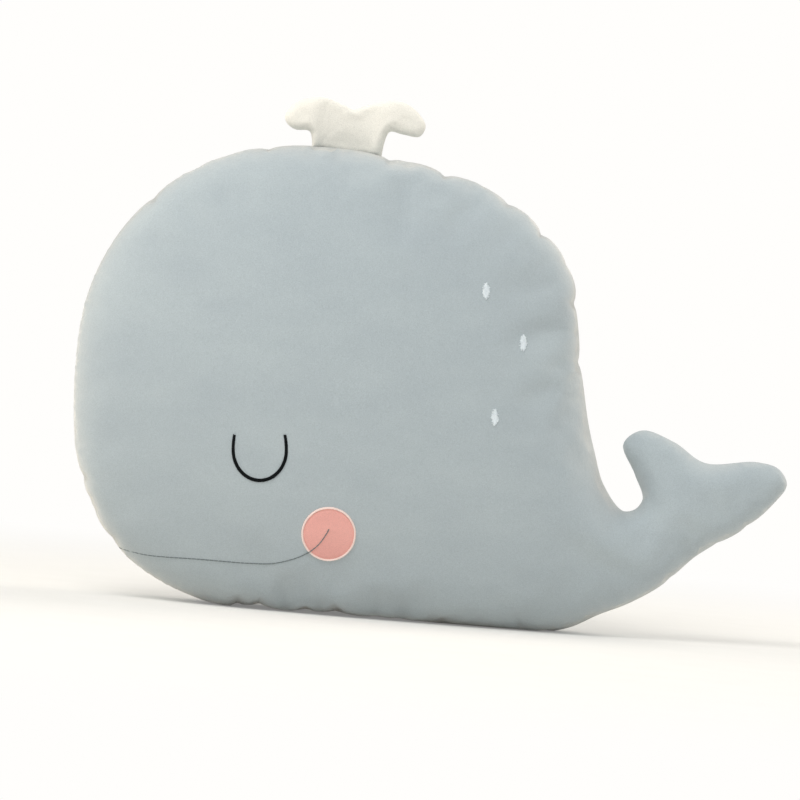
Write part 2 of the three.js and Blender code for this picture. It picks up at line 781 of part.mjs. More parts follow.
place("cheek_patch", drapedOval(panel, CHEEK, patchRadius, patchRadius, 0, CHEEK_CLOTH), pinkVelvet);
place(
  "cheek_border_stitching",
  stitchedBand(panel, cheekLine(), CHEEK_BORDER, CHEEK_RAISE, none, true),
  pinkThread,
);
place(
  "mouth_stitching",
  stitchedBand(panel, mouthLine(), MOUTH_STITCH, MOUTH_RAISE, overCheek, false),
  greyThread,
);
for (const [name, [ahead, height]] of Object.entries(FLECKS)) {
  const spot = [RUMP_FROM_NOSE - ahead, height];
  const pad = drapedOval(panel, spot, FLECK_HALF_WIDTH, FLECK_HALF_HEIGHT, FACE_TILT, FLECK_RAISE);
  place(name, pad, whiteThread);
}

// The part's origin is under the middle of its outline
whale.children.forEach((mesh) => {
  mesh.position.x -= (bounds.min.x + bounds.max.x) / 2;
});

export default whale;
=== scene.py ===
import json
import math

import bpy
import numpy as np
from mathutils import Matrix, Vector, geometry, noise
from mathutils.bvhtree import BVHTree


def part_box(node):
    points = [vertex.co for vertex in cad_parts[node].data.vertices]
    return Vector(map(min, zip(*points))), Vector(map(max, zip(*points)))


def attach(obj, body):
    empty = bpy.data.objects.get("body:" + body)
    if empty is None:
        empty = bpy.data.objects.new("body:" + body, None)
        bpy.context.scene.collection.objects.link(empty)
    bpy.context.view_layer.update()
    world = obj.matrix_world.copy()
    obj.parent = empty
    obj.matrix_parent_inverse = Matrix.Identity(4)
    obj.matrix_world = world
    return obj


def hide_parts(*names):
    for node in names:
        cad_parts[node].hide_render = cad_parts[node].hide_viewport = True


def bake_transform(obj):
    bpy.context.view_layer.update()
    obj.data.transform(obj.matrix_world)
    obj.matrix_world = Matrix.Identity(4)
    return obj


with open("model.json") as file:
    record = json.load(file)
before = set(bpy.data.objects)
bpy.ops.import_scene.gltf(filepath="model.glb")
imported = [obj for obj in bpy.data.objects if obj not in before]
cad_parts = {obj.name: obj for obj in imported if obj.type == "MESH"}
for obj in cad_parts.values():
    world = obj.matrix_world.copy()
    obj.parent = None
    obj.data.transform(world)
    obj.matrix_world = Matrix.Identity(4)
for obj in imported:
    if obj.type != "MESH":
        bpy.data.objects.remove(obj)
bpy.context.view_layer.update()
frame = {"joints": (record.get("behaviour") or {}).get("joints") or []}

# Whale panels: short grey-blue velvet pile, one cut from nose to flukes for each side. They are sewn
# face to face and turned, so the seam runs round the edge with its allowance inside. The filling
# presses the cloth full, and it gathers a little where the sewing pulled the seam tight.
MM = 0.001
NOSE_HEIGHT = 186
CROWN = (168, 357.5)
RUMP = (385, 231)
BELLY_FROM_NOSE = 240
BELLY_SINK = 9
FOREHEAD_FULLNESS = 2.05
BACK_FULLNESS = 2.3
CHIN_FULLNESS = 3
TAIL_EDGE = [
    (12, 166), (20, 139), (29, 115), (46, 97), (58.5, 106), (51, 126), (40.5, 148), (54, 160),
    (80, 153), (105, 139), (144, 143), (162, 139), (169.5, 127), (160, 111), (140, 90),
    (104, 66), (83, 44), (56, 26), (33, 15), (9, 2.5), (-45, -7),
]
PUCKERS = [
    (49.5, 308, 1.8), (79, 333, 1.2), (104, 343, 0.8), (133, 350, 2.4), (228, 351, 3.2),
    (241, 350, 1), (272, 343, 4.4), (323, 327, 2.8), (349, 305, 4.6), (369, 281, 1.8),
    (382, 254, 3.2), (387, 208.5, 2.8), (438, 98, 1), (24, 94, 2.4), (31, 78, 1.6),
    (35, 71, 1.4), (46, 49, 1.8), (470, 50, 1.4), (505, 76, 1.2), (526, 91.5, 1.6),
]
BELLY_PUCKERS = [(139, 2), (157, 3.4), (193, 2.4), (216, 3), (247, 2), (265, 1.8)]
BELLY_PUCKER_HEIGHT = 16
PUCKER_WIDTH = 7.5
HALF_THICKNESS = 82
SEAM_SINK = 0.3
SEAM_STEP = 4.5
CLOTH_GRID = 6.2
CLOTH_THICKNESS = 1.6
SEAM_ALLOWANCE = 6
SEAM_GAP = 0.15
PUFF_POWER = 0.42
START_SHARE = 0.9  # how full the cloth is before the filling presses it
SLACK = 0.05
SLACK_REACH = 32
LEAST_SLACK = 0.25
GATHER_SPREAD = 3  # pucker widths over which the cloth lies loose
SEAM_RING = 3
FLUKE_CLEAR = 10
NECK_HALF = 10 * MM
NECK_REACH = 60 * MM
CLIP_REACH = 50 * MM  # the allowance narrows over this length on both sides of the neck
CLIP_SLOPE = 1.6
CLIP_DROP = 0.5
LEAST_FOLD = 0.1
TAB_ROOM = 4  # how many times wider the seam is where the spout's tab lies in it
GREY_SHEEN = 1

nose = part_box("front_panel_body")[0].x
joints = {joint["name"]: joint for joint in frame["joints"]}
tail_joint = joints["tail_bend"]
neck = np.array(tail_joint["pos_m"])[[0, 2]]
neck_line = np.array(tail_joint["axis"])[[0, 2]]
tailward = np.array([-neck_line[1], neck_line[0]])


def from_nose(points):
    """Side-view places in metres, from millimetres behind the nose and above the floor."""
    return np.array(points, float)[:, :2] * MM + (nose, 0)


ROUND_POINTS = 6


def quarter_round(centre, across, up, fullness, start):
    """A quarter of a squared ellipse, clockwise from an angle, without its last point."""
    angles = np.radians(start - 90 / ROUND_POINTS * np.arange(ROUND_POINTS))
    round_x = np.sign(np.cos(angles)) * np.abs(np.cos(angles)) ** (2 / fullness)
    round_z = np.sign(np.sin(angles)) * np.abs(np.sin(angles)) ** (2 / fullness)
    return np.c_[centre[0] + across * round_x, centre[1] + up * round_z]


CURVE_STEPS = 24


def smooth_line(points, step, closed=False):
    """A smooth line through given points, with a point every step along it."""
    points = np.array(points, float)
    count = len(points)
    fine = []
    for i in range(count if closed else count - 1):
        near = [(i + k) % count if closed else min(max(i + k, 0), count - 1) for k in (-1, 0, 1, 2)]
        p = points[near]
        t = np.r_[0, np.cumsum(np.maximum(np.linalg.norm(np.diff(p, axis=0), axis=1), 1e-9) ** 0.5)]
        for s in np.linspace(t[1], t[2], CURVE_STEPS, endpoint=False):
            a = [((t[k + 1] - s) * p[k] + (s - t[k]) * p[k + 1]) / (t[k + 1] - t[k]) for k in range(3)]
            b = [((t[k + 2] - s) * a[k] + (s - t[k]) * a[k + 1]) / (t[k + 2] - t[k]) for k in range(2)]
            fine.append(((t[2] - s) * b[0] + (s - t[1]) * b[1]) / (t[2] - t[1]))
    fine.append(fine[0] if closed else points[-1])
    return even_steps(np.array(fine), step, closed)


def even_steps(line, step, closed=False):
    """A point every step along a line. Columns after the third are carried along with it."""
    run = np.r_[0, np.cumsum(np.linalg.norm(np.diff(line[:, :3], axis=0), axis=1))]
    count = max(round(run[-1] / step), 2)
    at = np.linspace(0, run[-1], count + 1)
    if closed:
        at = at[:-1]
    return np.c_[tuple(np.interp(at, run, line[:, k]) for k in range(line.shape[1]))]


def unit(ways):
    return ways / np.linalg.norm(ways, axis=-1, keepdims=True)


def outward_of(edge):
    """The way out of a closed edge that runs anticlockwise, at each of its points."""
    along = unit(np.roll(edge, -1, axis=0) - np.roll(edge, 1, axis=0))
    return np.c_[along[:, 1], -along[:, 0]]


def inward_of(edge):
    """The way into a closed edge, in the upright plane of the seam."""
    across, up = -outward_of(edge).T
    return np.c_[across, np.zeros(len(edge)), up]


def anticlockwise(edge):
    after = np.roll(edge, -1, axis=0)
    turned = np.sum(edge[:, 0] * after[:, 1] - after[:, 0] * edge[:, 1])
    return edge if turned > 0 else edge[::-1]


POINTS_AT_ONCE = 1500


def nearest_on(edge, points):
    """How far each point is from a closed edge, and which of the edge's stretches is nearest."""
    stretch = np.roll(edge, -1, axis=0) - edge
    far, which = [], []
    for some in np.array_split(points, len(points) // POINTS_AT_ONCE + 1):
        away = some[:, None] - edge[None]
        share = np.clip((away * stretch).sum(2) / (stretch**2).sum(1), 0, 1)
        gap = np.linalg.norm(away - share[..., None] * stretch, axis=2)
        far.append(gap.min(1))
        which.append(gap.argmin(1))
    return np.concatenate(far), np.concatenate(which)


def within(edge, points):
    after = np.roll(edge, -1, axis=0)
    rise = np.where(after[:, 1] == edge[:, 1], 1e-12, after[:, 1] - edge[:, 1])
    level = points[:, 1][:, None]
    crosses = (edge[:, 1] > level) != (after[:, 1] > level)
    at = edge[:, 0] + (after[:, 0] - edge[:, 0]) * (level - edge[:, 1]) / rise
    return (crosses & (points[:, 0][:, None] < at)).sum(1) % 2 == 1


def drawn_in(edge, puckers, width):
    """The edge pulled in to a point at each pucker, and how hard it is gathered at each place."""
    run = np.r_[0, np.cumsum(np.linalg.norm(np.diff(edge, axis=0), axis=1))]
    whole = run[-1] + np.linalg.norm(edge[0] - edge[-1])
    pull, gathered = np.zeros(len(edge)), np.zeros(len(edge))
    for place, depth in puckers:
        away = np.abs(run - run[np.linalg.norm(edge - place, axis=1).argmin()])
        away = np.minimum(away, whole - away)
        pull += depth * np.exp(-away / width)
        gathered = np.maximum(gathered, depth * np.exp(-((away / (GATHER_SPREAD * width)) ** 2)))
    return edge - outward_of(edge) * pull[:, None], gathered / gathered.max()


GRID_CLEAR = 0.55  # shares of the grid and of the ring that keep the cloth's triangles even
RING_CLEAR = 0.87
CUT_CLEAR = 0.6


def cut_cloth(edge, grid, ring, cut=None):
    """Flat cloth inside an edge, whose points come first, meshed for the filling to press out."""
    low, high = edge.min(0), edge.max(0)
    rows = np.arange(low[1], high[1], grid * math.sqrt(3) / 2)
    spots = []
    for j, z in enumerate(rows):
        across = np.arange(low[0] + (j % 2) * grid / 2, high[0], grid)
        spots.append(np.c_[across, np.full(len(across), z)])
    spots = np.vstack(spots)
    spots = spots[within(edge, spots)]
    spots = spots[nearest_on(edge, spots)[0] > ring + GRID_CLEAR * grid]
    inner = edge - outward_of(edge) * ring
    inner = inner[within(edge, inner)]
    inner = inner[nearest_on(edge, inner)[0] > RING_CLEAR * ring]
    middle = np.vstack([inner, spots])
    links = [(i, (i + 1) % len(edge)) for i in range(len(edge))]
    points = [edge]
    if cut is not None:
        start, end = edge[list(cut)]
        length = np.linalg.norm(end - start)
        share = np.clip((middle - start) @ (end - start) / length**2, 0, 1)
        aside = middle - start - share[:, None] * (end - start)
        middle = middle[np.linalg.norm(aside, axis=1) > CUT_CLEAR * grid]
        between = np.linspace(start, end, round(length / grid) + 1)[1:-1]
        points.append(between)
        chain = [cut[0], *range(len(edge), len(edge) + len(between)), cut[1]]
        links += list(zip(chain, chain[1:]))
    points = np.vstack([*points, middle])
    made = geometry.delaunay_2d_cdt([Vector(p) for p in points], links, [], 1, 1e-7)
    flat = np.array([p[:] for p in made[0]])
    triangles = np.array([face for face in made[2] if len(face) == 3])
    a, b, c = (flat[triangles[:, k]] for k in range(3))
    backwards = (b - a)[:, 0] * (c - a)[:, 1] < (b - a)[:, 1] * (c - a)[:, 0]
    triangles[backwards] = triangles[backwards][:, ::-1]
    return flat, triangles


LEAST_PULL = 1e-3
SOLVER_STEPS = 500


def pressed_height(flat, triangles, rim):
    """How high an evenly pressed sheet rises at each point, as a share. Its rim points come first."""
    ends, others, pulls = [], [], []
    load = np.zeros(len(flat))
    for k in range(3):
        a, b, c = triangles[:, k], triangles[:, (k + 1) % 3], triangles[:, (k + 2) % 3]
        ca, cb = flat[a] - flat[c], flat[b] - flat[c]
        twice = np.abs(ca[:, 0] * cb[:, 1] - ca[:, 1] * cb[:, 0])
        pull = np.maximum((ca * cb).sum(1) / (2 * twice), LEAST_PULL)
        ends += [a, b]
        others += [b, a]
        pulls += [pull, pull]
        np.add.at(load, a, twice / 6)
    ends, others, pulls = (np.concatenate(part) for part in (ends, others, pulls))
    own = np.bincount(ends, pulls, len(flat))
    loose = np.arange(len(flat)) >= rim
    rise = np.zeros(len(flat))
    left = np.where(loose, load, 0)
    step = left / own
    size = left @ step
    for _ in range(SOLVER_STEPS):
        pulled = np.where(loose, own * step - np.bincount(ends, pulls * step[others], len(flat)), 0)
        move = size / (step @ pulled)
        rise += move * step
        left -= move * pulled
        before, size = size, left @ (left / own)
        step = left / own + size / before * step
    return np.maximum(rise, 0) / rise.max()


SETTLE_FRAMES = 25


def filled(flat, triangles, rim, height, slack, slack_most, resting):
    """Both panels, joined at the rim and pressed out by the filling: the points of the front, then
    those of the back. Resting points stay where they are."""
    front = np.c_[flat[:, 0], -height, flat[:, 1]]
    behind = np.r_[np.arange(rim), len(flat) + np.arange(len(flat) - rim)]
    both = np.vstack([front, front[rim:] * (1, -1, 1)])
    mesh = bpy.data.meshes.new("cover")
    faces = np.vstack([triangles, behind[triangles][:, ::-1]])
    mesh.from_pydata(both.tolist(), [], faces.tolist())
    cover = bpy.data.objects.new("cover", mesh)
    bpy.context.scene.collection.objects.link(cover)
    held = cover.vertex_groups.new(name="held")
    still = np.r_[np.arange(rim), np.nonzero(resting)[0], behind[resting]]
    held.add(still.tolist(), 1, "REPLACE")
    smooth = cover.vertex_groups.new(name="smooth")
    for i, share in enumerate(np.r_[slack, slack[rim:]]):
        smooth.add([i], float(1 - share), "REPLACE")
    cloth = cover.modifiers.new("filling", "CLOTH")
    fabric = cloth.settings
    fabric.quality = 6
    fabric.mass = 0.15
    fabric.tension_stiffness = fabric.compression_stiffness = 30
    fabric.shear_stiffness = 10
    fabric.bending_model = "ANGULAR"
    fabric.bending_stiffness = 2
    fabric.tension_damping = fabric.compression_damping = fabric.shear_damping = 10
    fabric.air_damping = 2
    fabric.use_pressure = True
    fabric.uniform_pressure_force = 3
    fabric.vertex_group_mass = "held"
    fabric.vertex_group_shrink = "smooth"
    fabric.shrink_min = -slack_most
    fabric.shrink_max = 0
    fabric.effector_weights.gravity = 0
    cloth.collision_settings.use_collision = False
    scene = bpy.context.scene
    for step in range(1, SETTLE_FRAMES + 1):
        scene.frame_set(step)
    settled = cover.evaluated_get(bpy.context.evaluated_depsgraph_get()).data
    moved = np.empty(len(both) * 3, np.float32)
    settled.vertices.foreach_get("co", moved)
    both = moved.reshape(-1, 3).astype(float)
    scene.frame_set(1)
    bpy.data.objects.remove(cover)
    bpy.data.meshes.remove(mesh)
    return both[: len(flat)], both[behind]


def facing(points, triangles):
    """Which way the cloth faces at each point."""
    a, b, c = (points[triangles[:, k]] for k in range(3))
    face = np.cross(b - a, c - a)
    total = np.zeros_like(points)
    for k in range(3):
        np.add.at(total, triangles[:, k], face)
    return unit(total)


def finer(points, normals, triangles, rim):
    """Pressed cloth with each triangle split in four. The new points lie on the cloth's own curve, or
    on the seam's, and come after the old ones. The pairs say which two points each lies between."""
    ends = np.sort(triangles[:, [0, 1, 1, 2, 2, 0]].reshape(-1, 2), axis=1)
    pairs, which = np.unique(ends, axis=0, return_inverse=True)
    a, b = pairs.T
    along = points[b] - points[a]
    lean_a = (along * normals[a]).sum(1)[:, None] * normals[a]
    lean_b = (along * normals[b]).sum(1)[:, None] * normals[b]
    between = points[pairs].mean(1) + (lean_b - lean_a) / 8
    sewn = (b < rim) & ((b - a == 1) | (b - a == rim - 1))
    first = np.where(b - a == 1, a, b)[sewn]
    around = (first[:, None] + np.array([-1, 0, 1, 2])) % rim
    between[sewn] = (points[around] * np.array([-1, 9, 9, -1])[:, None]).sum(1) / 16
    between[:, 2] = np.maximum(between[:, 2], 0)
    middle = len(points) + which.reshape(-1, 3)
    corners = [np.c_[triangles[:, k], middle[:, k], middle[:, k - 1]] for k in range(3)]
    facing_there = unit(normals[a] + normals[b])
    split = np.vstack([*corners, middle])
    return np.vstack([points, between]), np.vstack([normals, facing_there]), split, pairs, sewn


def open_edges(faces):
    """The edges that only one triangle has, in that triangle's order."""
    edges = np.vstack([faces[:, [0, 1]], faces[:, [1, 2]], faces[:, [2, 0]]]).tolist()
    seen = {tuple(edge) for edge in edges}
    return np.array([edge for edge in edges if (edge[1], edge[0]) not in seen])


def mesh_piece(name, points, faces, material, corner_normals=None):
    mesh = bpy.data.meshes.new(name)
    mesh.from_pydata([tuple(p) for p in points], [], faces)
    mesh.polygons.foreach_set("use_smooth", np.ones(len(faces), bool))
    if corner_normals is not None:
        mesh.normals_split_custom_set(corner_normals)
    mesh.materials.append(material)
    mesh.update()
    piece = bpy.data.objects.new(name, mesh)
    bpy.context.scene.collection.objects.link(piece)
    return piece


CLOTH_ROOM = 0.7  # share of the way to the middle that the cloth's thickness may take
FOLD_CLOTH = 0.4  # shares of the allowance that shape the turned edge
FOLD_OPEN = 0.6
FOLD_LEAN = 0.5


def cloth_panel(name, points, normals, triangles, inward, fold, part, side, thickness, material):
    """One panel as closed cloth: its face, its back, and the edge turned in along the seam."""
    rim, whole = len(inward), len(points)
    points, normals, triangles, pairs, sewn = finer(points, normals, triangles, rim)
    on_seam = np.r_[np.arange(whole) < rim, sewn]
    edging = np.zeros((whole, 5))
    edging[:rim] = np.c_[inward, fold, part]
    edging = np.vstack([edging, edging[pairs].mean(1)])
    inward, fold, part = edging[:, :3], edging[:, 3], edging[:, 4]
    used, faces = np.unique(triangles, return_inverse=True)
    faces = faces.reshape(-1, 3)
    count = len(used)
    outer, normal = points[used].copy(), normals[used]
    inner = outer - np.minimum(thickness, CLOTH_ROOM * np.abs(outer[:, 1]))[:, None] * normal
    seam = np.nonzero(on_seam[used])[0]
    at = used[seam]
    across = np.array([0, side, 0])
    outer[seam] += across * part[at, None]
    turned_in = np.minimum(thickness, FOLD_CLOTH * fold[at])[:, None]
    inner[seam] = outer[seam] + (inward[at] + FOLD_OPEN * across) * turned_in
    near = outer + (inner - outer) / 3
    far = outer + (inner - outer) * 2 / 3
    near[seam] = outer[seam] + inward[at] * fold[at, None]
    far[seam] = near[seam] + FOLD_LEAN * across * turned_in
    border = open_edges(faces)
    layers = [border + k * count for k in (0, 2, 3, 1)]
    walls = np.vstack([np.c_[top[:, ::-1], under] for top, under in zip(layers, layers[1:])])
    everything = np.vstack([outer, inner, near, far])
    a, b, c, d = (everything[walls[:, k]] for k in range(4))
    wall_normal = np.cross(c - a, d - b)
    wall_normal /= np.maximum(np.linalg.norm(wall_normal, axis=1), 1e-12)[:, None]
    corner_normals = [normal[faces].reshape(-1, 3), -normal[faces[:, ::-1]].reshape(-1, 3)]
    corner_normals.append(np.repeat(wall_normal, 4, axis=0))
    all_faces = [*faces.tolist(), *(faces[:, ::-1] + count).tolist(), *walls.tolist()]
    kept, renumbered = np.unique(np.concatenate([np.ravel(f) for f in all_faces]), return_inverse=True)
    sizes = [len(f) for f in all_faces]
    all_faces = [f.tolist() for f in np.split(renumbered, np.cumsum(sizes)[:-1])]
    return mesh_piece(name, everything[kept], all_faces, material, np.vstack(corner_normals))


def linear(red, green, blue):
    """A colour as a screen shows it, 0 to 255, as the light that it stands for."""
    parts = np.array([red, green, blue]) / 255
    light = np.where(parts <= 0.04045, parts / 12.92, ((parts + 0.055) / 1.055) ** 2.4)
    return (*light.tolist(), 1)


def new_material(name):
    """A material, its nodes and its shader."""
    material = bpy.data.materials.new(name)
    material.use_nodes = True
    return material, material.node_tree, material.node_tree.nodes["Principled BSDF"]


def set_sockets(tree, node, sockets):
    """Sets a node's sockets, by name or number, to values or to the outputs that lead to them."""
    for socket, value in sockets.items():
        if isinstance(value, bpy.types.NodeSocket):
            tree.links.new(value, node.inputs[socket])
        else:
            node.inputs[socket].default_value = value


def add_node(tree, kind, output, sockets, **settings):
    """One output of a new node."""
    node = tree.nodes.new(f"ShaderNode{kind}")
    for setting, value in settings.items():
        setattr(node, setting, value)
    set_sockets(tree, node, sockets)
    return node.outputs[output]


def on_piece(tree):
    """Places on the piece, for its grain to follow."""
    return add_node(tree, "TexCoord", "Object", {})


def speckle(tree, sockets):
    return add_node(tree, "TexNoise", "Fac", sockets)


def ranged(tree, value, span, onto=(0, 1), **settings):
    """A value whose span is stretched onto another one."""
    ends = {"From Min": span[0], "From Max": span[1], "To Min": onto[0], "To Max": onto[1]}
    return add_node(tree, "MapRange", "Result", {"Value": value, **ends}, **settings)


def two_shades(tree, share, low, high):
    return add_node(tree, "Mix", "Result", {"Factor": share, "A": low, "B": high}, data_type="RGBA")


def relief(tree, sockets):
    return add_node(tree, "Bump", "Normal", sockets)


def velvet(name, stroked, brushed, sheen, pile=1300):
    """Short pile: two shades where it was stroked one way or the other, a fine grain and a sheen."""
    material, tree, shader = new_material(name)
    place = on_piece(tree)
    lie = add_node(tree, "Mapping", "Vector", {"Vector": place, "Scale": (1, 1, 2.2)})
    strokes = speckle(tree, {"Vector": lie, "Scale": 13, "Detail": 5, "Roughness": 0.6})
    shade = two_shades(tree, ranged(tree, strokes, (0.32, 0.68)), brushed, stroked)
    grain = speckle(tree, {"Vector": place, "Scale": pile, "Detail": 2})
    depth = ranged(tree, grain, (0.3, 0.7), (0.9, 1.06))
    tufts = speckle(tree, {"Vector": place, "Scale": pile / 6, "Detail": 3})
    lumps = relief(tree, {"Height": tufts, "Strength": 0.25, "Distance": 0.0012})
    hairs = {"Height": grain, "Normal": lumps, "Strength": 0.35, "Distance": 0.0004}
    grained = {"Vector": shade, "Scale": depth}
    look = {
        "Base Color": add_node(tree, "VectorMath", "Vector", grained, operation="SCALE"),
        "Roughness": ranged(tree, grain, (0, 1), (0.98, 0.8)),
        "Normal": relief(tree, hairs),
        "Specular IOR Level": 0.15,
        "Sheen Weight": sheen,
        "Sheen Roughness": 0.42,
        "Sheen Tint": (1, 0.94, 0.86, 1),
    }
    set_sockets(tree, shader, look)
    return material


chin_middle = (BELLY_FROM_NOSE, NOSE_HEIGHT)
whale_curve = np.vstack(
    [
        quarter_round((CROWN[0], NOSE_HEIGHT), CROWN[0], CROWN[1] - NOSE_HEIGHT, FOREHEAD_FULLNESS, 180),
        quarter_round((CROWN[0], RUMP[1]), RUMP[0] - CROWN[0], CROWN[1] - RUMP[1], BACK_FULLNESS, 90),
        [RUMP],
        [(RUMP[0] + behind, height) for behind, height in TAIL_EDGE],
        quarter_round(chin_middle, BELLY_FROM_NOSE, NOSE_HEIGHT + BELLY_SINK, CHIN_FULLNESS, 270),
    ]
)
whale_edge = anticlockwise(smooth_line(from_nose(whale_curve), SEAM_STEP * MM, closed=True))
pulls = [(place, depth * MM) for place, (_, _, depth) in zip(from_nose(PUCKERS), PUCKERS)]
sunk_edge = whale_edge - outward_of(whale_edge) * SEAM_SINK * MM
seam, gathered = drawn_in(sunk_edge, pulls, PUCKER_WIDTH * MM)
rim = len(seam)

along_tail = (seam - neck) @ tailward
along_neck = (seam - neck) @ neck_line
at_neck = np.abs(along_neck) < NECK_REACH
crossing = np.where(at_neck, np.abs(along_tail + NECK_HALF), 1)
upper = np.where(along_neck < 0, crossing, 1).argmin()
lower = np.where(along_neck > 0, crossing, 1).argmin()
flat, triangles = cut_cloth(seam, CLOTH_GRID * MM, SEAM_RING * MM, cut=(int(upper), int(lower)))
swell = pressed_height(flat, triangles, rim) ** PUFF_POWER
from_seam, nearest = nearest_on(seam, flat)
loose_cloth = LEAST_SLACK + (1 - LEAST_SLACK) * gathered[nearest]
loose_cloth = loose_cloth * np.exp(-((from_seam / (SLACK_REACH * MM)) ** 2))
belly = flat[:, 1] < 0
flat[belly, 1] = 0
low_down = np.exp(-flat[:, 1] / (BELLY_PUCKER_HEIGHT * MM))
for place, depth in BELLY_PUCKERS:
    away = np.abs(flat[:, 0] - nose - place * MM) / (PUCKER_WIDTH * MM)
    flat[:, 1] += depth * MM * np.exp(-away) * low_down
    loose_cloth = np.maximum(loose_cloth, np.exp(-((away / GATHER_SPREAD) ** 2)) * low_down)
start_height = START_SHARE * HALF_THICKNESS * MM * swell
front, back = filled(flat, triangles, rim, start_height, loose_cloth, SLACK, belly)
fullest = max(-front[:, 1].min(), back[:, 1].max())
for side_points in (front, back):
    side_points[:, 1] *= HALF_THICKNESS * MM / fullest
    side_points[:, 2] = np.maximum(side_points[:, 2], 0)

GREY_STROKED = linear(178, 188, 192)
GREY_BRUSHED = linear(172, 182, 187)
grey_velvet = velvet("grey velvet", GREY_STROKED, GREY_BRUSHED, GREY_SHEEN)
middle_of = flat[triangles].mean(1)
flank_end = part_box("front_panel_tail")[0].x - FLUKE_CLEAR * MM
in_tail = ((middle_of - neck) @ tailward > -NECK_HALF) & (middle_of[:, 0] > flank_end)
inward = inward_of(whale_edge)
clip = np.where(at_neck & (np.abs(along_tail) < CLIP_REACH), np.abs(along_tail) / CLIP_REACH, 1)
fold = SEAM_ALLOWANCE * MM * np.clip(clip * CLIP_SLOPE - CLIP_DROP, LEAST_FOLD, 1)
spout_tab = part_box("spout_root_tab")
at_tab = (seam[:, 0] > spout_tab[0].x) & (seam[:, 0] < spout_tab[1].x) & (seam[:, 1] > spout_tab[0].z)
part = np.where(at_tab, TAB_ROOM * SEAM_GAP, SEAM_GAP) * MM
for panel, points, side in (("front", front, -1), ("back", back, 1)):
    turned = triangles[:, ::-side]
    normals = facing(points, turned)
    cloth = (inward, fold, part, side, CLOTH_THICKNESS * MM, grey_velvet)
    body_cloth = cloth_panel(f"{panel}_cloth_body", points, normals, turned[~in_tail], *cloth)
    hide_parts(f"{panel}_panel_body")
    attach(body_cloth, "body")
    tail_cloth = cloth_panel(f"{panel}_cloth_tail", points, normals, turned[in_tail], *cloth)
    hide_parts(f"{panel}_panel_neck", f"{panel}_panel_tail")
    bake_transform(tail_cloth)

# Sleeping eye: a narrow curve of dark satin stitch, sewn by machine through the front panel before
# the panels are joined. Each thread crosses the line and dips into the pile at both ends.
EYE = (148.8, 122.7)
EYE_HALF_WIDTH = 20.2
EYE_DEPTH = 23.1
EYE_RISE = 36
EYE_LIFT = 18.6
EYE_STITCH = 2.5
EYE_END_STITCH = 1.8
EYE_POINTS = 120
EYE_TAPER = 0.5
EYE_SLANT = 0.18
EYE_UNEVEN = 0.05
EYE_RAISE = 0.75
EYE_REST = 0.15
FACE_TILT = math.radians(4.75)
THREAD = 0.22
THREAD_PITCH = 0.36
front_face = BVHTree.FromPolygons(front.tolist(), triangles.tolist())


def on_front(spots):
    """Where side-view places lie on the front panel, and which way the cloth faces there."""
    places, ways = [], []
    for x, z in spots:
        place, way, _, _ = front_face.ray_cast(Vector((x, -1, z)), Vector((0, 1, 0)))
        if place is None:
            place, way, _, _ = front_face.find_nearest(Vector((x, 0, z)))
        places.append(place)
        ways.append(way)
    return np.array(places, float), np.array(ways, float)


def thread_runs(runs, out, radius, sides=6):
    """Round threads along rows of points, as one list of points and faces."""
    count, steps = runs.shape[:2]
    along = unit(np.gradient(runs, axis=1))
    across = unit(np.cross(along, out))
    up = np.cross(across, along)
    turn = 2 * np.pi * np.arange(sides) / sides
    ring = np.cos(turn)[:, None] * across[:, :, None] + np.sin(turn)[:, None] * up[:, :, None]
    points = (runs[:, :, None] + radius * ring).reshape(-1, 3)
    number = np.arange(count * steps * sides).reshape(count, steps, sides)
    beside = np.roll(number, -1, axis=2)
    quads = np.stack([number[:, :-1], number[:, 1:], beside[:, 1:], beside[:, :-1]], axis=-1)
    ends = [*number[:, 0].tolist(), *number[:, -1, ::-1].tolist()]
    return points, [*quads.reshape(-1, 4).tolist(), *ends]


SATIN_SHARES = np.array([0, 0.06, 0.22, 0.5, 0.78, 0.94, 1])
SATIN_HEIGHTS = np.array([-0.6, 0.25, 0.8, 1, 0.8, 0.25, -0.6])


def satin(name, starts, ends, raise_by, lift, thread):
    """Threads laid across a band, arched over the cloth and sewn down at both ends."""
    spots = starts[:, None] + SATIN_SHARES[:, None] * (ends - starts)[:, None]
    places, ways = on_front(spots.reshape(-1, 2))
    shape = (*spots.shape[:2], 3)
    places, ways = places.reshape(shape), ways.reshape(shape)
    height = lift + raise_by * SATIN_HEIGHTS
    runs = places + ways * height[None, :, None]
    return mesh_piece(name, *thread_runs(runs, ways, THREAD * MM), thread)


def across_line(line, half, slant):
    """The two ends of a thread at each point of a line, square to it but for a slant."""
    along = unit(np.gradient(line, axis=0))
    square = np.c_[-along[:, 1], along[:, 0]]
    reach = half[:, None] * (square + slant * along)
    return line - reach, line + reach


def thread_material(name, colour, worn, roughness, shine=0.35):
    """Twisted embroidery thread: a glossy filament whose shade shifts from one stitch to the next."""
    material, tree, shader = new_material(name)
    stitches = speckle(tree, {"Vector": on_piece(tree), "Scale": 1800, "Detail": 2})
    look = {
        "Base Color": two_shades(tree, ranged(tree, stitches, (0.3, 0.7)), worn, colour),
        "Roughness": ranged(tree, stitches, (0, 1), (roughness + 0.1, roughness - 0.1)),
        "Normal": relief(tree, {"Height": stitches, "Strength": 0.3, "Distance": 0.0001}),
        "Specular IOR Level": shine,
    }
    set_sockets(tree, shader, look)
    return material


def tilted(across, up):
    """A shift given along and across the face art, which is level when the whale stands nose high."""
    return np.c_[
        across * math.cos(FACE_TILT) - up * math.sin(FACE_TILT),
        across * math.sin(FACE_TILT) + up * math.cos(FACE_TILT),
    ]


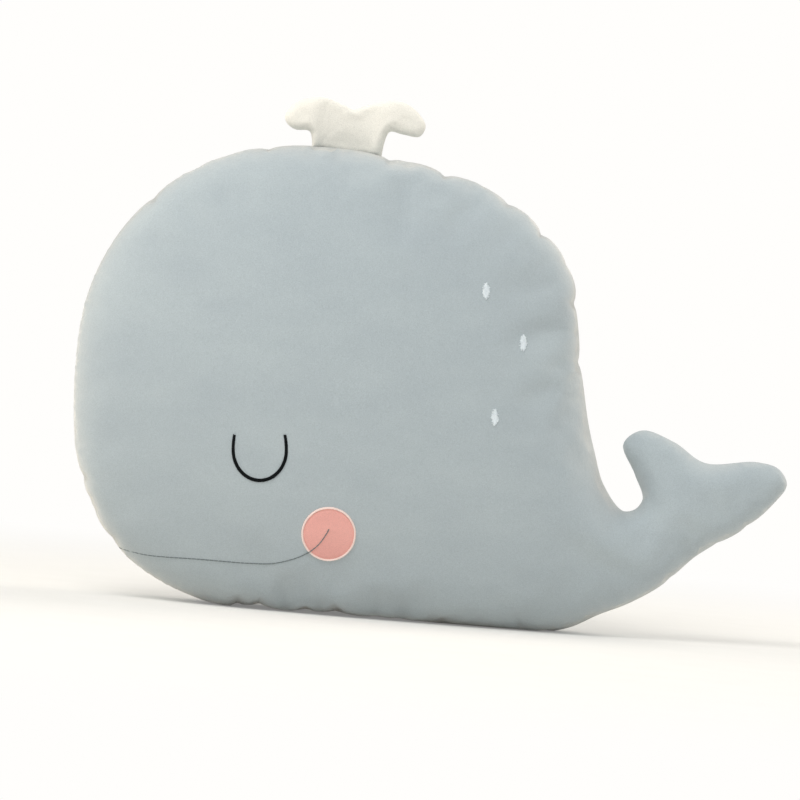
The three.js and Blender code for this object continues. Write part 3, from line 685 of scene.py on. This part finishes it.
EYE_DARK = linear(6, 9, 11)
EYE_WORN = linear(16, 20, 22)
black_thread = thread_material("dark thread", EYE_DARK, EYE_WORN, roughness=0.7, shine=0.1)
sweep = np.radians(np.linspace(180 - EYE_LIFT, 360 + EYE_LIFT, EYE_POINTS))
eye_up = np.where(np.sin(sweep) < 0, EYE_DEPTH, EYE_RISE) * np.sin(sweep)
eye_line = tilted(EYE_HALF_WIDTH * np.cos(sweep), eye_up)
eye_line = even_steps(from_nose(eye_line + EYE), THREAD_PITCH * MM)
fullness = np.sin(np.linspace(0, np.pi, len(eye_line))) ** EYE_TAPER
jitter = np.random.default_rng(11).normal(0, EYE_UNEVEN, len(eye_line))
eye_half = (EYE_END_STITCH + (EYE_STITCH - EYE_END_STITCH) * fullness) / 2 + jitter
eye_ends = across_line(eye_line, eye_half * MM, EYE_SLANT)
eye = satin("eye_threads", *eye_ends, EYE_RAISE * MM, EYE_REST * MM, black_thread)
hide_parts("eye_stitching")
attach(eye, "body")

# Cheek: a round of pink velvet laid on the front panel, with a satin-stitched border in paler pink
# thread that covers its cut edge and sews it down.
CHEEK = (206, 63.3)
CHEEK_RADIUS = 20.6
CHEEK_BORDER = 1.3
CHEEK_CLOTH = 1.0
CHEEK_UNDERSIDE = 0.05
CHEEK_EDGE = 0.25  # share of its thickness that the round keeps where the border presses it
CHEEK_ROUNDING = 9
CHEEK_RINGS = 16
CHEEK_SECTORS = 72
BORDER_LEAN = 0.01
BORDER_UNEVEN = 0.06
BORDER_RAISE = 0.9
BORDER_REST = 0.35
PINK_STROKED = linear(240, 178, 169)
PINK_BRUSHED = linear(233, 170, 162)
pink_velvet = velvet("pink velvet", PINK_STROKED, PINK_BRUSHED, sheen=0.2, pile=1800)
cheek_at = from_nose([CHEEK])[0]
patch_radius = (CHEEK_RADIUS - 0.5 * CHEEK_BORDER) * MM
turn = 2 * np.pi * np.arange(CHEEK_SECTORS) / CHEEK_SECTORS
shares = np.arange(1, CHEEK_RINGS + 1) / CHEEK_RINGS
spots = shares[:, None, None] * patch_radius * np.stack([np.cos(turn), np.sin(turn)], axis=-1)[None]
spots = np.vstack([[(0, 0)], spots.reshape(-1, 2)]) + cheek_at
places, ways = on_front(spots)
pressed = np.r_[1, np.repeat(np.clip((1 - shares) * CHEEK_ROUNDING, CHEEK_EDGE, 1), CHEEK_SECTORS)]
over = places + ways * (CHEEK_CLOTH * MM * pressed)[:, None]
under = places + ways * CHEEK_UNDERSIDE * MM
count = len(spots)
ring = 1 + np.arange(CHEEK_RINGS * CHEEK_SECTORS).reshape(CHEEK_RINGS, CHEEK_SECTORS)
beside = np.roll(ring, -1, axis=1)
fan = np.c_[np.zeros(CHEEK_SECTORS, int), ring[0], beside[0]]
quads = np.stack([ring[:-1], ring[1:], beside[1:], beside[:-1]], axis=-1).reshape(-1, 4)
edge = np.c_[ring[-1] + count, beside[-1] + count, beside[-1], ring[-1]]
faces = [*fan.tolist(), *quads.tolist(), *edge.tolist()]
faces += [*(fan[:, ::-1] + count).tolist(), *(quads[:, ::-1] + count).tolist()]
cheek = mesh_piece("cheek_round", np.vstack([over, under]), faces, pink_velvet)
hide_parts("cheek_patch")
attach(cheek, "body")

PALE_PINK = linear(252, 235, 229)
PALE_PINK_WORN = linear(247, 221, 213)
pink_thread = thread_material("pink thread", PALE_PINK, PALE_PINK_WORN, roughness=0.55)
border_radius = CHEEK_RADIUS - CHEEK_BORDER / 2
stitch_count = round(2 * math.pi * border_radius / THREAD_PITCH)
turn = 2 * np.pi * np.arange(stitch_count) / stitch_count
spoke = np.c_[np.cos(turn), np.sin(turn)]
jitter = np.random.default_rng(12).normal(0, BORDER_UNEVEN, stitch_count)
inner_ends = cheek_at + spoke * ((CHEEK_RADIUS - CHEEK_BORDER + jitter) * MM)[:, None]
leaning = np.c_[np.cos(turn + BORDER_LEAN), np.sin(turn + BORDER_LEAN)]
outer_ends = cheek_at + leaning * ((CHEEK_RADIUS + jitter) * MM)[:, None]
heights = (BORDER_RAISE * MM, BORDER_REST * MM)
border = satin("cheek_border_threads", inner_ends, outer_ends, *heights, pink_thread)
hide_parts("cheek_border_stitching")
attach(border, "body")

# Mouth: a single line of grey back stitch from the seam under the nose to the middle of the cheek,
# in a thick two-ply thread that lies half sunk in the pile.
MOUTH = [
    (45.5, 37.2), (53.3, 36), (69.6, 34.2), (109, 35), (147.5, 35.4), (163, 36.5), (176, 40),
    (189, 46), (199, 55), (206, 67.3),
]
MOUTH_STITCH = 3.4
MOUTH_PLY = 0.27
MOUTH_TWIST = 1.9
PLY_SPREAD = 0.8
STITCH_STEPS = 13
STITCH_BOW = 0.55
STITCH_SINK = 0.35
STITCH_FLATNESS = 0.4
CLIMB_LENGTH = 4  # over which the line rises onto the cheek
BORDER_CROSSING = 1.6
BORDER_STEP = 0.5
GREY_THREAD = linear(104, 113, 115)
GREY_THREAD_WORN = linear(122, 131, 132)
grey_thread = thread_material("grey thread", GREY_THREAD, GREY_THREAD_WORN, roughness=0.6)
mouth_line = smooth_line(from_nose(MOUTH), MOUTH_STITCH / (STITCH_STEPS - 1) * MM)
stitch_count = len(mouth_line) // (STITCH_STEPS - 1)
places, ways = on_front(mouth_line)
onto_cheek = CHEEK_RADIUS * MM - np.linalg.norm(mouth_line - cheek_at, axis=1)
climb = np.clip(onto_cheek / (CLIMB_LENGTH * MM) + 1, 0, 1)
climb = climb * climb * (3 - 2 * climb)
onto_border = onto_cheek - CHEEK_BORDER / 2 * MM
crossing = np.exp(-((onto_border / (BORDER_CROSSING * MM)) ** 2))
step_up = CHEEK_CLOTH * climb + BORDER_STEP * crossing
ply_runs, ply_ways = [], []
for stitch in range(stitch_count):
    steps = slice(stitch * (STITCH_STEPS - 1), stitch * (STITCH_STEPS - 1) + STITCH_STEPS)
    if steps.stop > len(mouth_line):
        break
    way = ways[steps]
    run = places[steps] + way * (step_up[steps] * MM)[:, None]
    bow = np.sin(np.linspace(0, np.pi, STITCH_STEPS)) ** STITCH_FLATNESS
    run = run + way * ((STITCH_BOW * bow - STITCH_SINK) * MM)[:, None]
    across = np.cross(unit(np.gradient(run, axis=0)), way)
    twist = 2 * np.pi * np.linspace(0, MOUTH_STITCH / MOUTH_TWIST, STITCH_STEPS)
    for ply in (0, np.pi):
        around = np.cos(twist + ply)[:, None] * across + np.sin(twist + ply)[:, None] * way
        ply_runs.append(run + around * MOUTH_PLY * PLY_SPREAD * MM)
        ply_ways.append(way)
mouth_mesh = thread_runs(np.array(ply_runs), np.array(ply_ways), MOUTH_PLY * MM)
mouth = mesh_piece("mouth_threads", *mouth_mesh, grey_thread)
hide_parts("mouth_stitching")
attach(mouth, "body")

# Flecks: three small leaves of white satin stitch on the flank, sewn by machine like the eye. Their
# threads lie level with the face, and their ends are a little uneven.
FLECKS = {"upper": (310, 256.7), "middle": (341.4, 219.8), "lower": (324.2, 162)}
FLECK_HALF_WIDTH = 2.7
FLECK_HALF_HEIGHT = 6.4
FLECK_TIP = 0.02
FLECK_ROUNDING = 0.7
FLECK_UNEVEN = 0.4
FLECK_SLANT = 0.1
FLECK_RAISE = 0.7
FLECK_REST = 0.1
WHITE_THREAD = linear(243, 249, 252)
WHITE_THREAD_WORN = linear(212, 222, 228)
white_thread = thread_material("white thread", WHITE_THREAD, WHITE_THREAD_WORN, roughness=0.5)
for number, (where, spot) in enumerate(FLECKS.items()):
    uneven = np.random.default_rng(20 + number)
    height = np.arange(-FLECK_HALF_HEIGHT, FLECK_HALF_HEIGHT, THREAD_PITCH) + THREAD_PITCH / 2
    narrowing = np.maximum(1 - (height / FLECK_HALF_HEIGHT) ** 2, FLECK_TIP)
    leaf = FLECK_HALF_WIDTH * narrowing**FLECK_ROUNDING
    left = -leaf + uneven.normal(0, FLECK_UNEVEN, len(height))
    right = leaf + uneven.normal(0, FLECK_UNEVEN, len(height))
    starts = from_nose(tilted(left, height - FLECK_SLANT) + spot)
    ends = from_nose(tilted(right, height + FLECK_SLANT) + spot)
    heights = (FLECK_RAISE * MM, FLECK_REST * MM)
    fleck = satin(f"fleck_threads_{where}", starts, ends, *heights, white_thread)
    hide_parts(f"fleck_stitching_{where}")
    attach(fleck, "body")

# Spout: two small panels of white velvet, sewn and turned like the whale and lightly filled. Its flat
# foot is caught in the top seam, and the raw edge below it hangs inside as a tab.
SPOUT_STEM = (-26.3, 28.2)
SPOUT_SUNK = 1.2
SPOUT_EDGE = [
    (-29.5, 9.5), (-41, 9.8), (-47.8, 13.8), (-49.8, 19.5), (-43.5, 29.6), (-24, 36.9),
    (-5, 32.6), (2, 30.2), (10, 34), (31, 40.7), (45, 38.6), (58.5, 25), (55, 16), (42, 16),
    (31.5, 16.5),
]
SPOUT_HALF_THICKNESS = 13.5
SPOUT_CLOTH = 1.2
SPOUT_GRID = 2.4
SPOUT_STEP = 1.8
SPOUT_RING = 1.4
SPOUT_START = 0.88
SPOUT_FLARE = 0.2  # how fast the stem widens above its flat foot
LOBE_FLARE = 1.5
STEM_SHARE = 0.8
STEM_ROUNDING = 8
SPOUT_FOOT = 12  # the slack grows over this height, because the foot is sewn flat
SPOUT_SLACK = 0.03
SPOUT_SLACK_REACH = 8
SPOUT_ALLOWANCE = 2.2
FOOT_ALLOWANCE = 0.4
FOOT_LEVEL = 0.1
TOP_SEAM_HALF = 60
TOP_SEAM_DROP = 40
TAB_STAND = 0.9
SPOUT_STROKED = linear(243, 240, 231)
SPOUT_BRUSHED = linear(238, 234, 225)
spout_joint = joints["spout_flop"]
seat_along = np.array(spout_joint["axis"]) / np.linalg.norm(spout_joint["axis"])
seat_up = np.array([-seat_along[2], 0, seat_along[0]])
seat = np.array(spout_joint["pos_m"]) - TAB_STAND * MM * seat_up
from_seat = seam - seat[[0, 2]]
top_seam = np.c_[from_seat @ seat_along[[0, 2]], from_seat @ seat_up[[0, 2]]]
near_seat = (np.abs(top_seam[:, 0]) < TOP_SEAM_HALF * MM) & (top_seam[:, 1] > -TOP_SEAM_DROP * MM)
top_seam = top_seam[near_seat]
top_seam = top_seam[top_seam[:, 0].argsort()]
stem_across = np.arange(SPOUT_STEM[0], SPOUT_STEM[1], SPOUT_STEP) * MM
stem_foot = np.c_[stem_across, np.interp(stem_across, *top_seam.T) - SPOUT_SUNK * MM]
sides = np.vstack([stem_foot[0], np.array(SPOUT_EDGE) * MM, stem_foot[-1]])
spout_edge = anticlockwise(np.vstack([smooth_line(sides, SPOUT_STEP * MM), stem_foot[-2:0:-1]]))
spout_rim = len(spout_edge)
spout_flat, spout_triangles = cut_cloth(spout_edge, SPOUT_GRID * MM, SPOUT_RING * MM)
spout_swell = pressed_height(spout_flat, spout_triangles, spout_rim) ** PUFF_POWER
spout_swell *= SPOUT_START * SPOUT_HALF_THICKNESS * MM
beside_stem = np.abs(spout_flat[:, 0]) - STEM_SHARE * SPOUT_STEM[1] * MM
beside_stem = (beside_stem + np.hypot(beside_stem, STEM_ROUNDING * MM)) / 2
above_foot = np.maximum(spout_flat[:, 1] - np.interp(spout_flat[:, 0], *stem_foot.T), 0)
flare = SPOUT_FLARE * above_foot + LOBE_FLARE * beside_stem
spout_height = spout_swell * flare / np.cbrt(spout_swell**3 + flare**3 + 1e-15)
edge_gap = nearest_on(spout_edge, spout_flat)[0]
flat_sewn = np.clip(above_foot / (SPOUT_FOOT * MM), 0, 1)
spout_slack = flat_sewn * np.exp(-((edge_gap / (SPOUT_SLACK_REACH * MM)) ** 2))
free = np.zeros(len(spout_flat), bool)
spout_cut = (spout_flat, spout_triangles, spout_rim)
spout_front, spout_back = filled(*spout_cut, spout_height, spout_slack, SPOUT_SLACK, free)
white_velvet = velvet("white velvet", SPOUT_STROKED, SPOUT_BRUSHED, sheen=0.12, pile=1500)
spout_inward = inward_of(spout_edge)
at_foot = above_foot[:spout_rim] < FOOT_LEVEL * MM
spout_fold = np.where(at_foot, FOOT_ALLOWANCE, SPOUT_ALLOWANCE) * MM
spout_part = np.full(spout_rim, SEAM_GAP * MM)
seated = np.array([seat_along, (0, 1, 0), seat_up])
spout_sides = [points @ seated + seat for points in (spout_front, spout_back)]
for panel, points, side in zip(("front", "back"), spout_sides, (-1, 1)):
    turned = spout_triangles[:, ::-side]
    normals = facing(points, turned)
    cloth = (spout_inward @ seated, spout_fold, spout_part, side, SPOUT_CLOTH * MM, white_velvet)
    spout_panel = cloth_panel(f"spout_cloth_{panel}", points, normals, turned, *cloth)
    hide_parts(f"spout_{panel}_panel")
    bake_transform(spout_panel)

# Spout tab: the raw foot of the spout's two panels, laid together between the whale's panels, where
# the top seam is sewn through all four.
TAB_COLUMNS = 40
TAB_ROWS = 6
TAB_THICKNESS = 0.7
TAB_DEPTH = 6
TAB_HALF = 24
TAB_RAGGED = 0.5
TAB_RAGGED_WAVES = (9, 23)
TAB_RIPPLE = 0.12
TAB_RIPPLE_WAVES = 14
tab_u, tab_v = np.meshgrid(np.linspace(-1, 1, TAB_COLUMNS), np.linspace(0, 1, TAB_ROWS))
long_wave, short_wave = TAB_RAGGED_WAVES
ragged = TAB_RAGGED * np.sin(long_wave * tab_u) * np.sin(short_wave * tab_u + 1)
tab_top = np.interp(TAB_HALF * MM * tab_u, *stem_foot.T) / MM
tab_drop = tab_top - tab_v * (TAB_DEPTH + ragged)
tab_wave = TAB_RIPPLE * np.sin(TAB_RIPPLE_WAVES * tab_u) * tab_v
tab_sheet = np.stack([TAB_HALF * tab_u, tab_wave, tab_drop], axis=-1).reshape(-1, 3) * MM
half_tab = np.array([0, TAB_THICKNESS / 2 * MM, 0])
tab_points = np.vstack([tab_sheet - half_tab, tab_sheet + half_tab]) @ seated + seat
grid = np.arange(TAB_COLUMNS * TAB_ROWS).reshape(TAB_ROWS, TAB_COLUMNS)
quads = np.stack([grid[:-1, :-1], grid[1:, :-1], grid[1:, 1:], grid[:-1, 1:]], axis=-1).reshape(-1, 4)
around = np.r_[grid[0, :-1], grid[:-1, -1], grid[-1, :0:-1], grid[:0:-1, 0]]
after = np.roll(around, -1)
walls = np.c_[around, after, after + grid.size, around + grid.size]
tab_faces = [*quads.tolist(), *(quads[:, ::-1] + grid.size).tolist(), *walls.tolist()]
tab = mesh_piece("spout_tab", tab_points, tab_faces, white_velvet)
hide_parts("spout_root_tab")
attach(tab, "body")

# Overlocking: grey thread whipped round the raw edges of both allowances, in three runs. It stops at
# the opening under the belly and at the neck, where the allowance is clipped so that the tail can bend.
OPENING_FROM_NOSE = 200
OPENING_LENGTH = 90
OVERLOCK_PITCH = 4
OVERLOCK_REACH = 1.6
OVERLOCK_THREAD = 0.26
OVERLOCK_STEP = 0.4
NECK_CLIP = 16 * MM
raw_edge = np.c_[seam[:, 0], np.maximum(seam[:, 1], 0)] + inward[:, [0, 2]] * SEAM_ALLOWANCE * MM
opening = from_nose([(OPENING_FROM_NOSE, 0), (OPENING_FROM_NOSE + OPENING_LENGTH, 0)])[:, 0]
on_belly = seam[:, 1] < BELLY_SINK * MM
first = np.where(on_belly, np.abs(seam[:, 0] - opening[1]), 1).argmin()
order = np.roll(np.arange(rim), -first)
is_open = on_belly & (seam[:, 0] > opening[0]) & (seam[:, 0] < opening[1])
unsewn = is_open | (at_neck & (np.abs(along_tail) <= NECK_CLIP))
at_lower = np.nonzero(order == lower)[0][0]
at_upper = np.nonzero(order == upper)[0][0]
stretches = {"belly": order[:at_lower], "tail": order[at_lower:at_upper], "back": order[at_upper:]}
runs_of = {where: stretch[~unsewn[stretch]] for where, stretch in stretches.items()}
for where, points_on in runs_of.items():
    edge_x, edge_z = raw_edge[points_on].T
    edge_line = np.c_[edge_x, np.zeros(len(points_on)), edge_z, inward[points_on]]
    line = even_steps(edge_line, OVERLOCK_STEP * MM)
    twist = 2 * np.pi * OVERLOCK_STEP / OVERLOCK_PITCH * np.arange(len(line))
    spoke = np.cos(twist)[:, None] * line[:, 3:] + np.sin(twist)[:, None] * np.array([0, 1, 0])
    run = line[:, :3] + spoke * OVERLOCK_REACH * MM
    whipped = thread_runs(run[None], spoke[None], OVERLOCK_THREAD * MM, sides=5)
    overlock = mesh_piece(f"overlock_threads_{where}", *whipped, grey_thread)
    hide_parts(f"seam_overlock_{where}")
    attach(overlock, "tail" if where == "tail" else "body")

# Filling: white polyester fibre, pushed in by the handful through the opening until the cloth is
# full. It lies against both panels and stops short of the folded seam.
FILL_CLEAR = 11
FILL_INSET = 2.4
FILL_LUMP = 2.2
FILL_LUMP_SIZE = 26
SPOUT_FILL_CLEAR = 4
SPOUT_FILL_INSET = 1.5
SPOUT_FILL_LUMP = 0.8
SPOUT_FILL_LUMP_SIZE = 9
LUMP_NOISE = (0.8, 2, 4)  # fading, fineness and number of its layers
FIBRE_PALE = linear(246, 245, 241)
FIBRE_DEEP = linear(222, 220, 213)
fibre, tree, shader = new_material("fibre fill")
combed = add_node(tree, "Mapping", "Vector", {"Vector": on_piece(tree), "Scale": (0.3, 1, 1)})
strands = speckle(tree, {"Vector": combed, "Scale": 700, "Detail": 6, "Distortion": 1.5})
streaks = {
    "Base Color": two_shades(tree, strands, FIBRE_DEEP, FIBRE_PALE),
    "Roughness": ranged(tree, strands, (0, 1), (0.8, 1)),
    "Normal": relief(tree, {"Height": strands, "Strength": 0.5, "Distance": 0.001}),
}
set_sockets(tree, shader, streaks)


def fibre_mass(name, sides, triangles, wanted, inset, lump, lump_size):
    """Filling between two panels: lumpy faces a little inside both, closed round the edge."""
    used, faces = np.unique(triangles[wanted], return_inverse=True)
    faces = faces.reshape(-1, 3)
    count = len(used)
    pressed = []
    for points, way in zip(sides, (1, -1)):
        normals = facing(points, triangles[:, ::way])[used]
        lumps = [noise.fractal(Vector(p / lump_size), *LUMP_NOISE) for p in points[used]]
        depth = inset + lump * np.clip(0.5 + 0.5 * np.array(lumps), 0, 1)
        pressed.append(points[used] - normals * depth[:, None])
    border = open_edges(faces)
    walls = np.c_[border[:, ::-1], border + count]
    all_faces = [*faces.tolist(), *(faces[:, ::-1] + count).tolist(), *walls.tolist()]
    return mesh_piece(name, np.vstack(pressed), all_faces, fibre)


deep = (from_seam[triangles] > FILL_CLEAR * MM).all(1)
before_neck = (middle_of - neck) @ tailward < -NECK_HALF - CLOTH_GRID * MM
in_body = ~in_tail & (before_neck | (middle_of[:, 0] < flank_end))
lumpy = (FILL_INSET * MM, FILL_LUMP * MM, FILL_LUMP_SIZE * MM)
body_fill = fibre_mass("filling_body", (front, back), triangles, deep & in_body, *lumpy)
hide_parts("stuffing_body")
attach(body_fill, "body")
tail_fill = fibre_mass("filling_tail", (front, back), triangles, deep & in_tail, *lumpy)
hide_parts("stuffing_neck", "stuffing_tail")
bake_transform(tail_fill)
spout_deep = (edge_gap[spout_triangles] > SPOUT_FILL_CLEAR * MM).all(1)
lumpy = (SPOUT_FILL_INSET * MM, SPOUT_FILL_LUMP * MM, SPOUT_FILL_LUMP_SIZE * MM)
spout_fill = fibre_mass("filling_spout", spout_sides, spout_triangles, spout_deep, *lumpy)
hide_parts("spout_stuffing")
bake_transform(spout_fill)

# Closing stitches: one grey thread, laced by hand from fold to fold across the opening under the
# belly once the filling is in, and pulled tight.
CLOSING_PITCH = 7
CLOSING_THREAD = 0.5
CLOSING_LEVEL = 7.8
LACE_STEP = 0.5
laces = OPENING_FROM_NOSE + np.arange(CLOSING_PITCH, OPENING_LENGTH - CLOSING_PITCH, CLOSING_PITCH / 2)
swing = CLOSING_PITCH / 4 * np.where(np.arange(len(laces)) % 2, 1, -1)
lace_points = np.c_[nose + laces * MM, swing * MM, np.full(len(laces), CLOSING_LEVEL * MM)]
lace = smooth_line(lace_points, LACE_STEP * MM)
upright = np.tile((0.0, 0.0, 1.0), (1, len(lace), 1))
laced = thread_runs(lace[None], upright, CLOSING_THREAD * MM, sides=8)
closing = mesh_piece("closing_thread", *laced, grey_thread)
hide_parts("closing_stitches")
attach(closing, "body")

# Studio: a pale paper floor that fades to white away from the whale, a large soft lamp high on the
# left, a weaker one on the right and two warm ones behind, which light the pile along the edges.
FLOOR_RADIUS = 6
FLOOR_FADE = (0.3, 1.1)
FLOOR_WHITENING = (0.2, 1)
FLOOR_SIDES = 48
FLOOR_DROP = 0.5
FLOOR_TONES = (linear(233, 231, 226), linear(238, 236, 232))
AROUND_LIGHT = 0.41
AROUND_COLOUR = (0.96, 0.99, 1, 1)
WHITE = linear(255, 254, 252)
LAMPS = [  # each with its place, the height that it aims at, its size, power and colour
    ("window", (-0.9, -1.5, 2.2), 0.15, 1.6, 39.5, (1, 0.98, 0.95)),
    ("fill", (1.4, -1.7, 1.5), 0.15, 1.6, 7, (0.95, 0.99, 1)),
    ("edge", (-1.8, 0.2, 1.0), 0.2, 1.4, 15, (1, 0.92, 0.81)),
    ("far edge", (1.3, 0.7, 1.4), 0.2, 1.4, 18, (1, 0.94, 0.86)),
]


def seen_directly(tree):
    """1 where the background is looked at, also in a reflection or through glass, else 0."""
    path = tree.nodes.new("ShaderNodeLightPath")
    seen = path.outputs["Is Camera Ray"]
    for other in ("Is Glossy Ray", "Is Transmission Ray"):
        seen = add_node(tree, "Math", "Value", {0: seen, 1: path.outputs[other]}, operation="MAXIMUM")
    return seen


def mixed_look(tree, share, first, second, output):
    """Two looks of a material or of the world, mixed by a share."""
    mixed = add_node(tree, "MixShader", "Shader", {"Fac": share, 1: first, 2: second})
    set_sockets(tree, tree.nodes[output], {"Surface": mixed})


paper, tree, shader = new_material("pale paper")
tone = two_shades(tree, speckle(tree, {"Scale": 300}), *FLOOR_TONES)
set_sockets(tree, shader, {"Base Color": tone, "Roughness": 0.9, "Specular IOR Level": 0.1})
away = add_node(tree, "VectorMath", "Value", {"Vector": on_piece(tree)}, operation="LENGTH")
fade = ranged(tree, away, FLOOR_FADE, FLOOR_WHITENING, interpolation_type="SMOOTHSTEP")
whitened = add_node(tree, "Math", "Value", {0: fade, 1: seen_directly(tree)}, operation="MULTIPLY")
glow = add_node(tree, "Emission", "Emission", {"Color": WHITE})
mixed_look(tree, whitened, shader.outputs["BSDF"], glow, "Material Output")
turn = np.linspace(0, 2 * np.pi, FLOOR_SIDES, endpoint=False)
floor_edge = FLOOR_RADIUS * np.c_[np.cos(turn), np.sin(turn)]
floor_points = np.c_[floor_edge, np.full(len(turn), -FLOOR_DROP * MM)]
mesh_piece("studio_floor", floor_points, [list(range(len(turn)))], paper)

world = bpy.data.worlds.new("studio")
bpy.context.scene.world = world
world.use_nodes = True
tree = world.node_tree
around = tree.nodes["Background"]
set_sockets(tree, around, {"Color": AROUND_COLOUR, "Strength": AROUND_LIGHT})
backdrop = add_node(tree, "Background", "Background", {"Color": WHITE})
mixed_look(tree, seen_directly(tree), around.outputs["Background"], backdrop, "World Output")
for name, place, aim, size, power, colour in LAMPS:
    lamp = bpy.data.lights.new(name, "AREA")
    lamp.shape = "DISK"
    lamp.size = size
    lamp.energy = power
    lamp.color = colour
    stand = bpy.data.objects.new(name, lamp)
    stand.location = place
    towards = Vector((0, 0, aim)) - Vector(place)
    stand.rotation_euler = towards.to_track_quat("-Z", "Y").to_euler()
    bpy.context.scene.collection.objects.link(stand)

# Camera: the photograph's view of the whale's face side, from far off and a little above it. It is
# rolled, so that the whale's base slopes a little down to the right.
VIEW_WIDTH = 0.6166
VIEW_MIDDLE = (-0.02579, 0, 0.16765)
VIEW_ROLL = 4.75
VIEW_HEIGHT = 1.2
LENS = 250
SENSOR = 36
camera_data = bpy.data.cameras.new("camera")
camera_data.lens = LENS
camera_data.sensor_width = SENSOR
camera = bpy.data.objects.new("camera", camera_data)
bpy.context.scene.collection.objects.link(camera)
rise = math.radians(VIEW_HEIGHT)
back_off = Vector((0, -math.cos(rise), math.sin(rise)))
camera.location = Vector(VIEW_MIDDLE) + back_off * (VIEW_WIDTH * LENS / SENSOR)
aimed = (-back_off).to_track_quat("-Z", "Y").to_matrix()
roll = math.radians(VIEW_ROLL)
right = aimed.col[0] * math.cos(roll) + aimed.col[1] * math.sin(roll)
up = aimed.col[1] * math.cos(roll) - aimed.col[0] * math.sin(roll)
aimed.col[0], aimed.col[1] = right, up
camera.rotation_euler = aimed.to_euler()
bpy.context.scene.camera = camera
bpy.context.scene.view_settings.view_transform = "Standard"
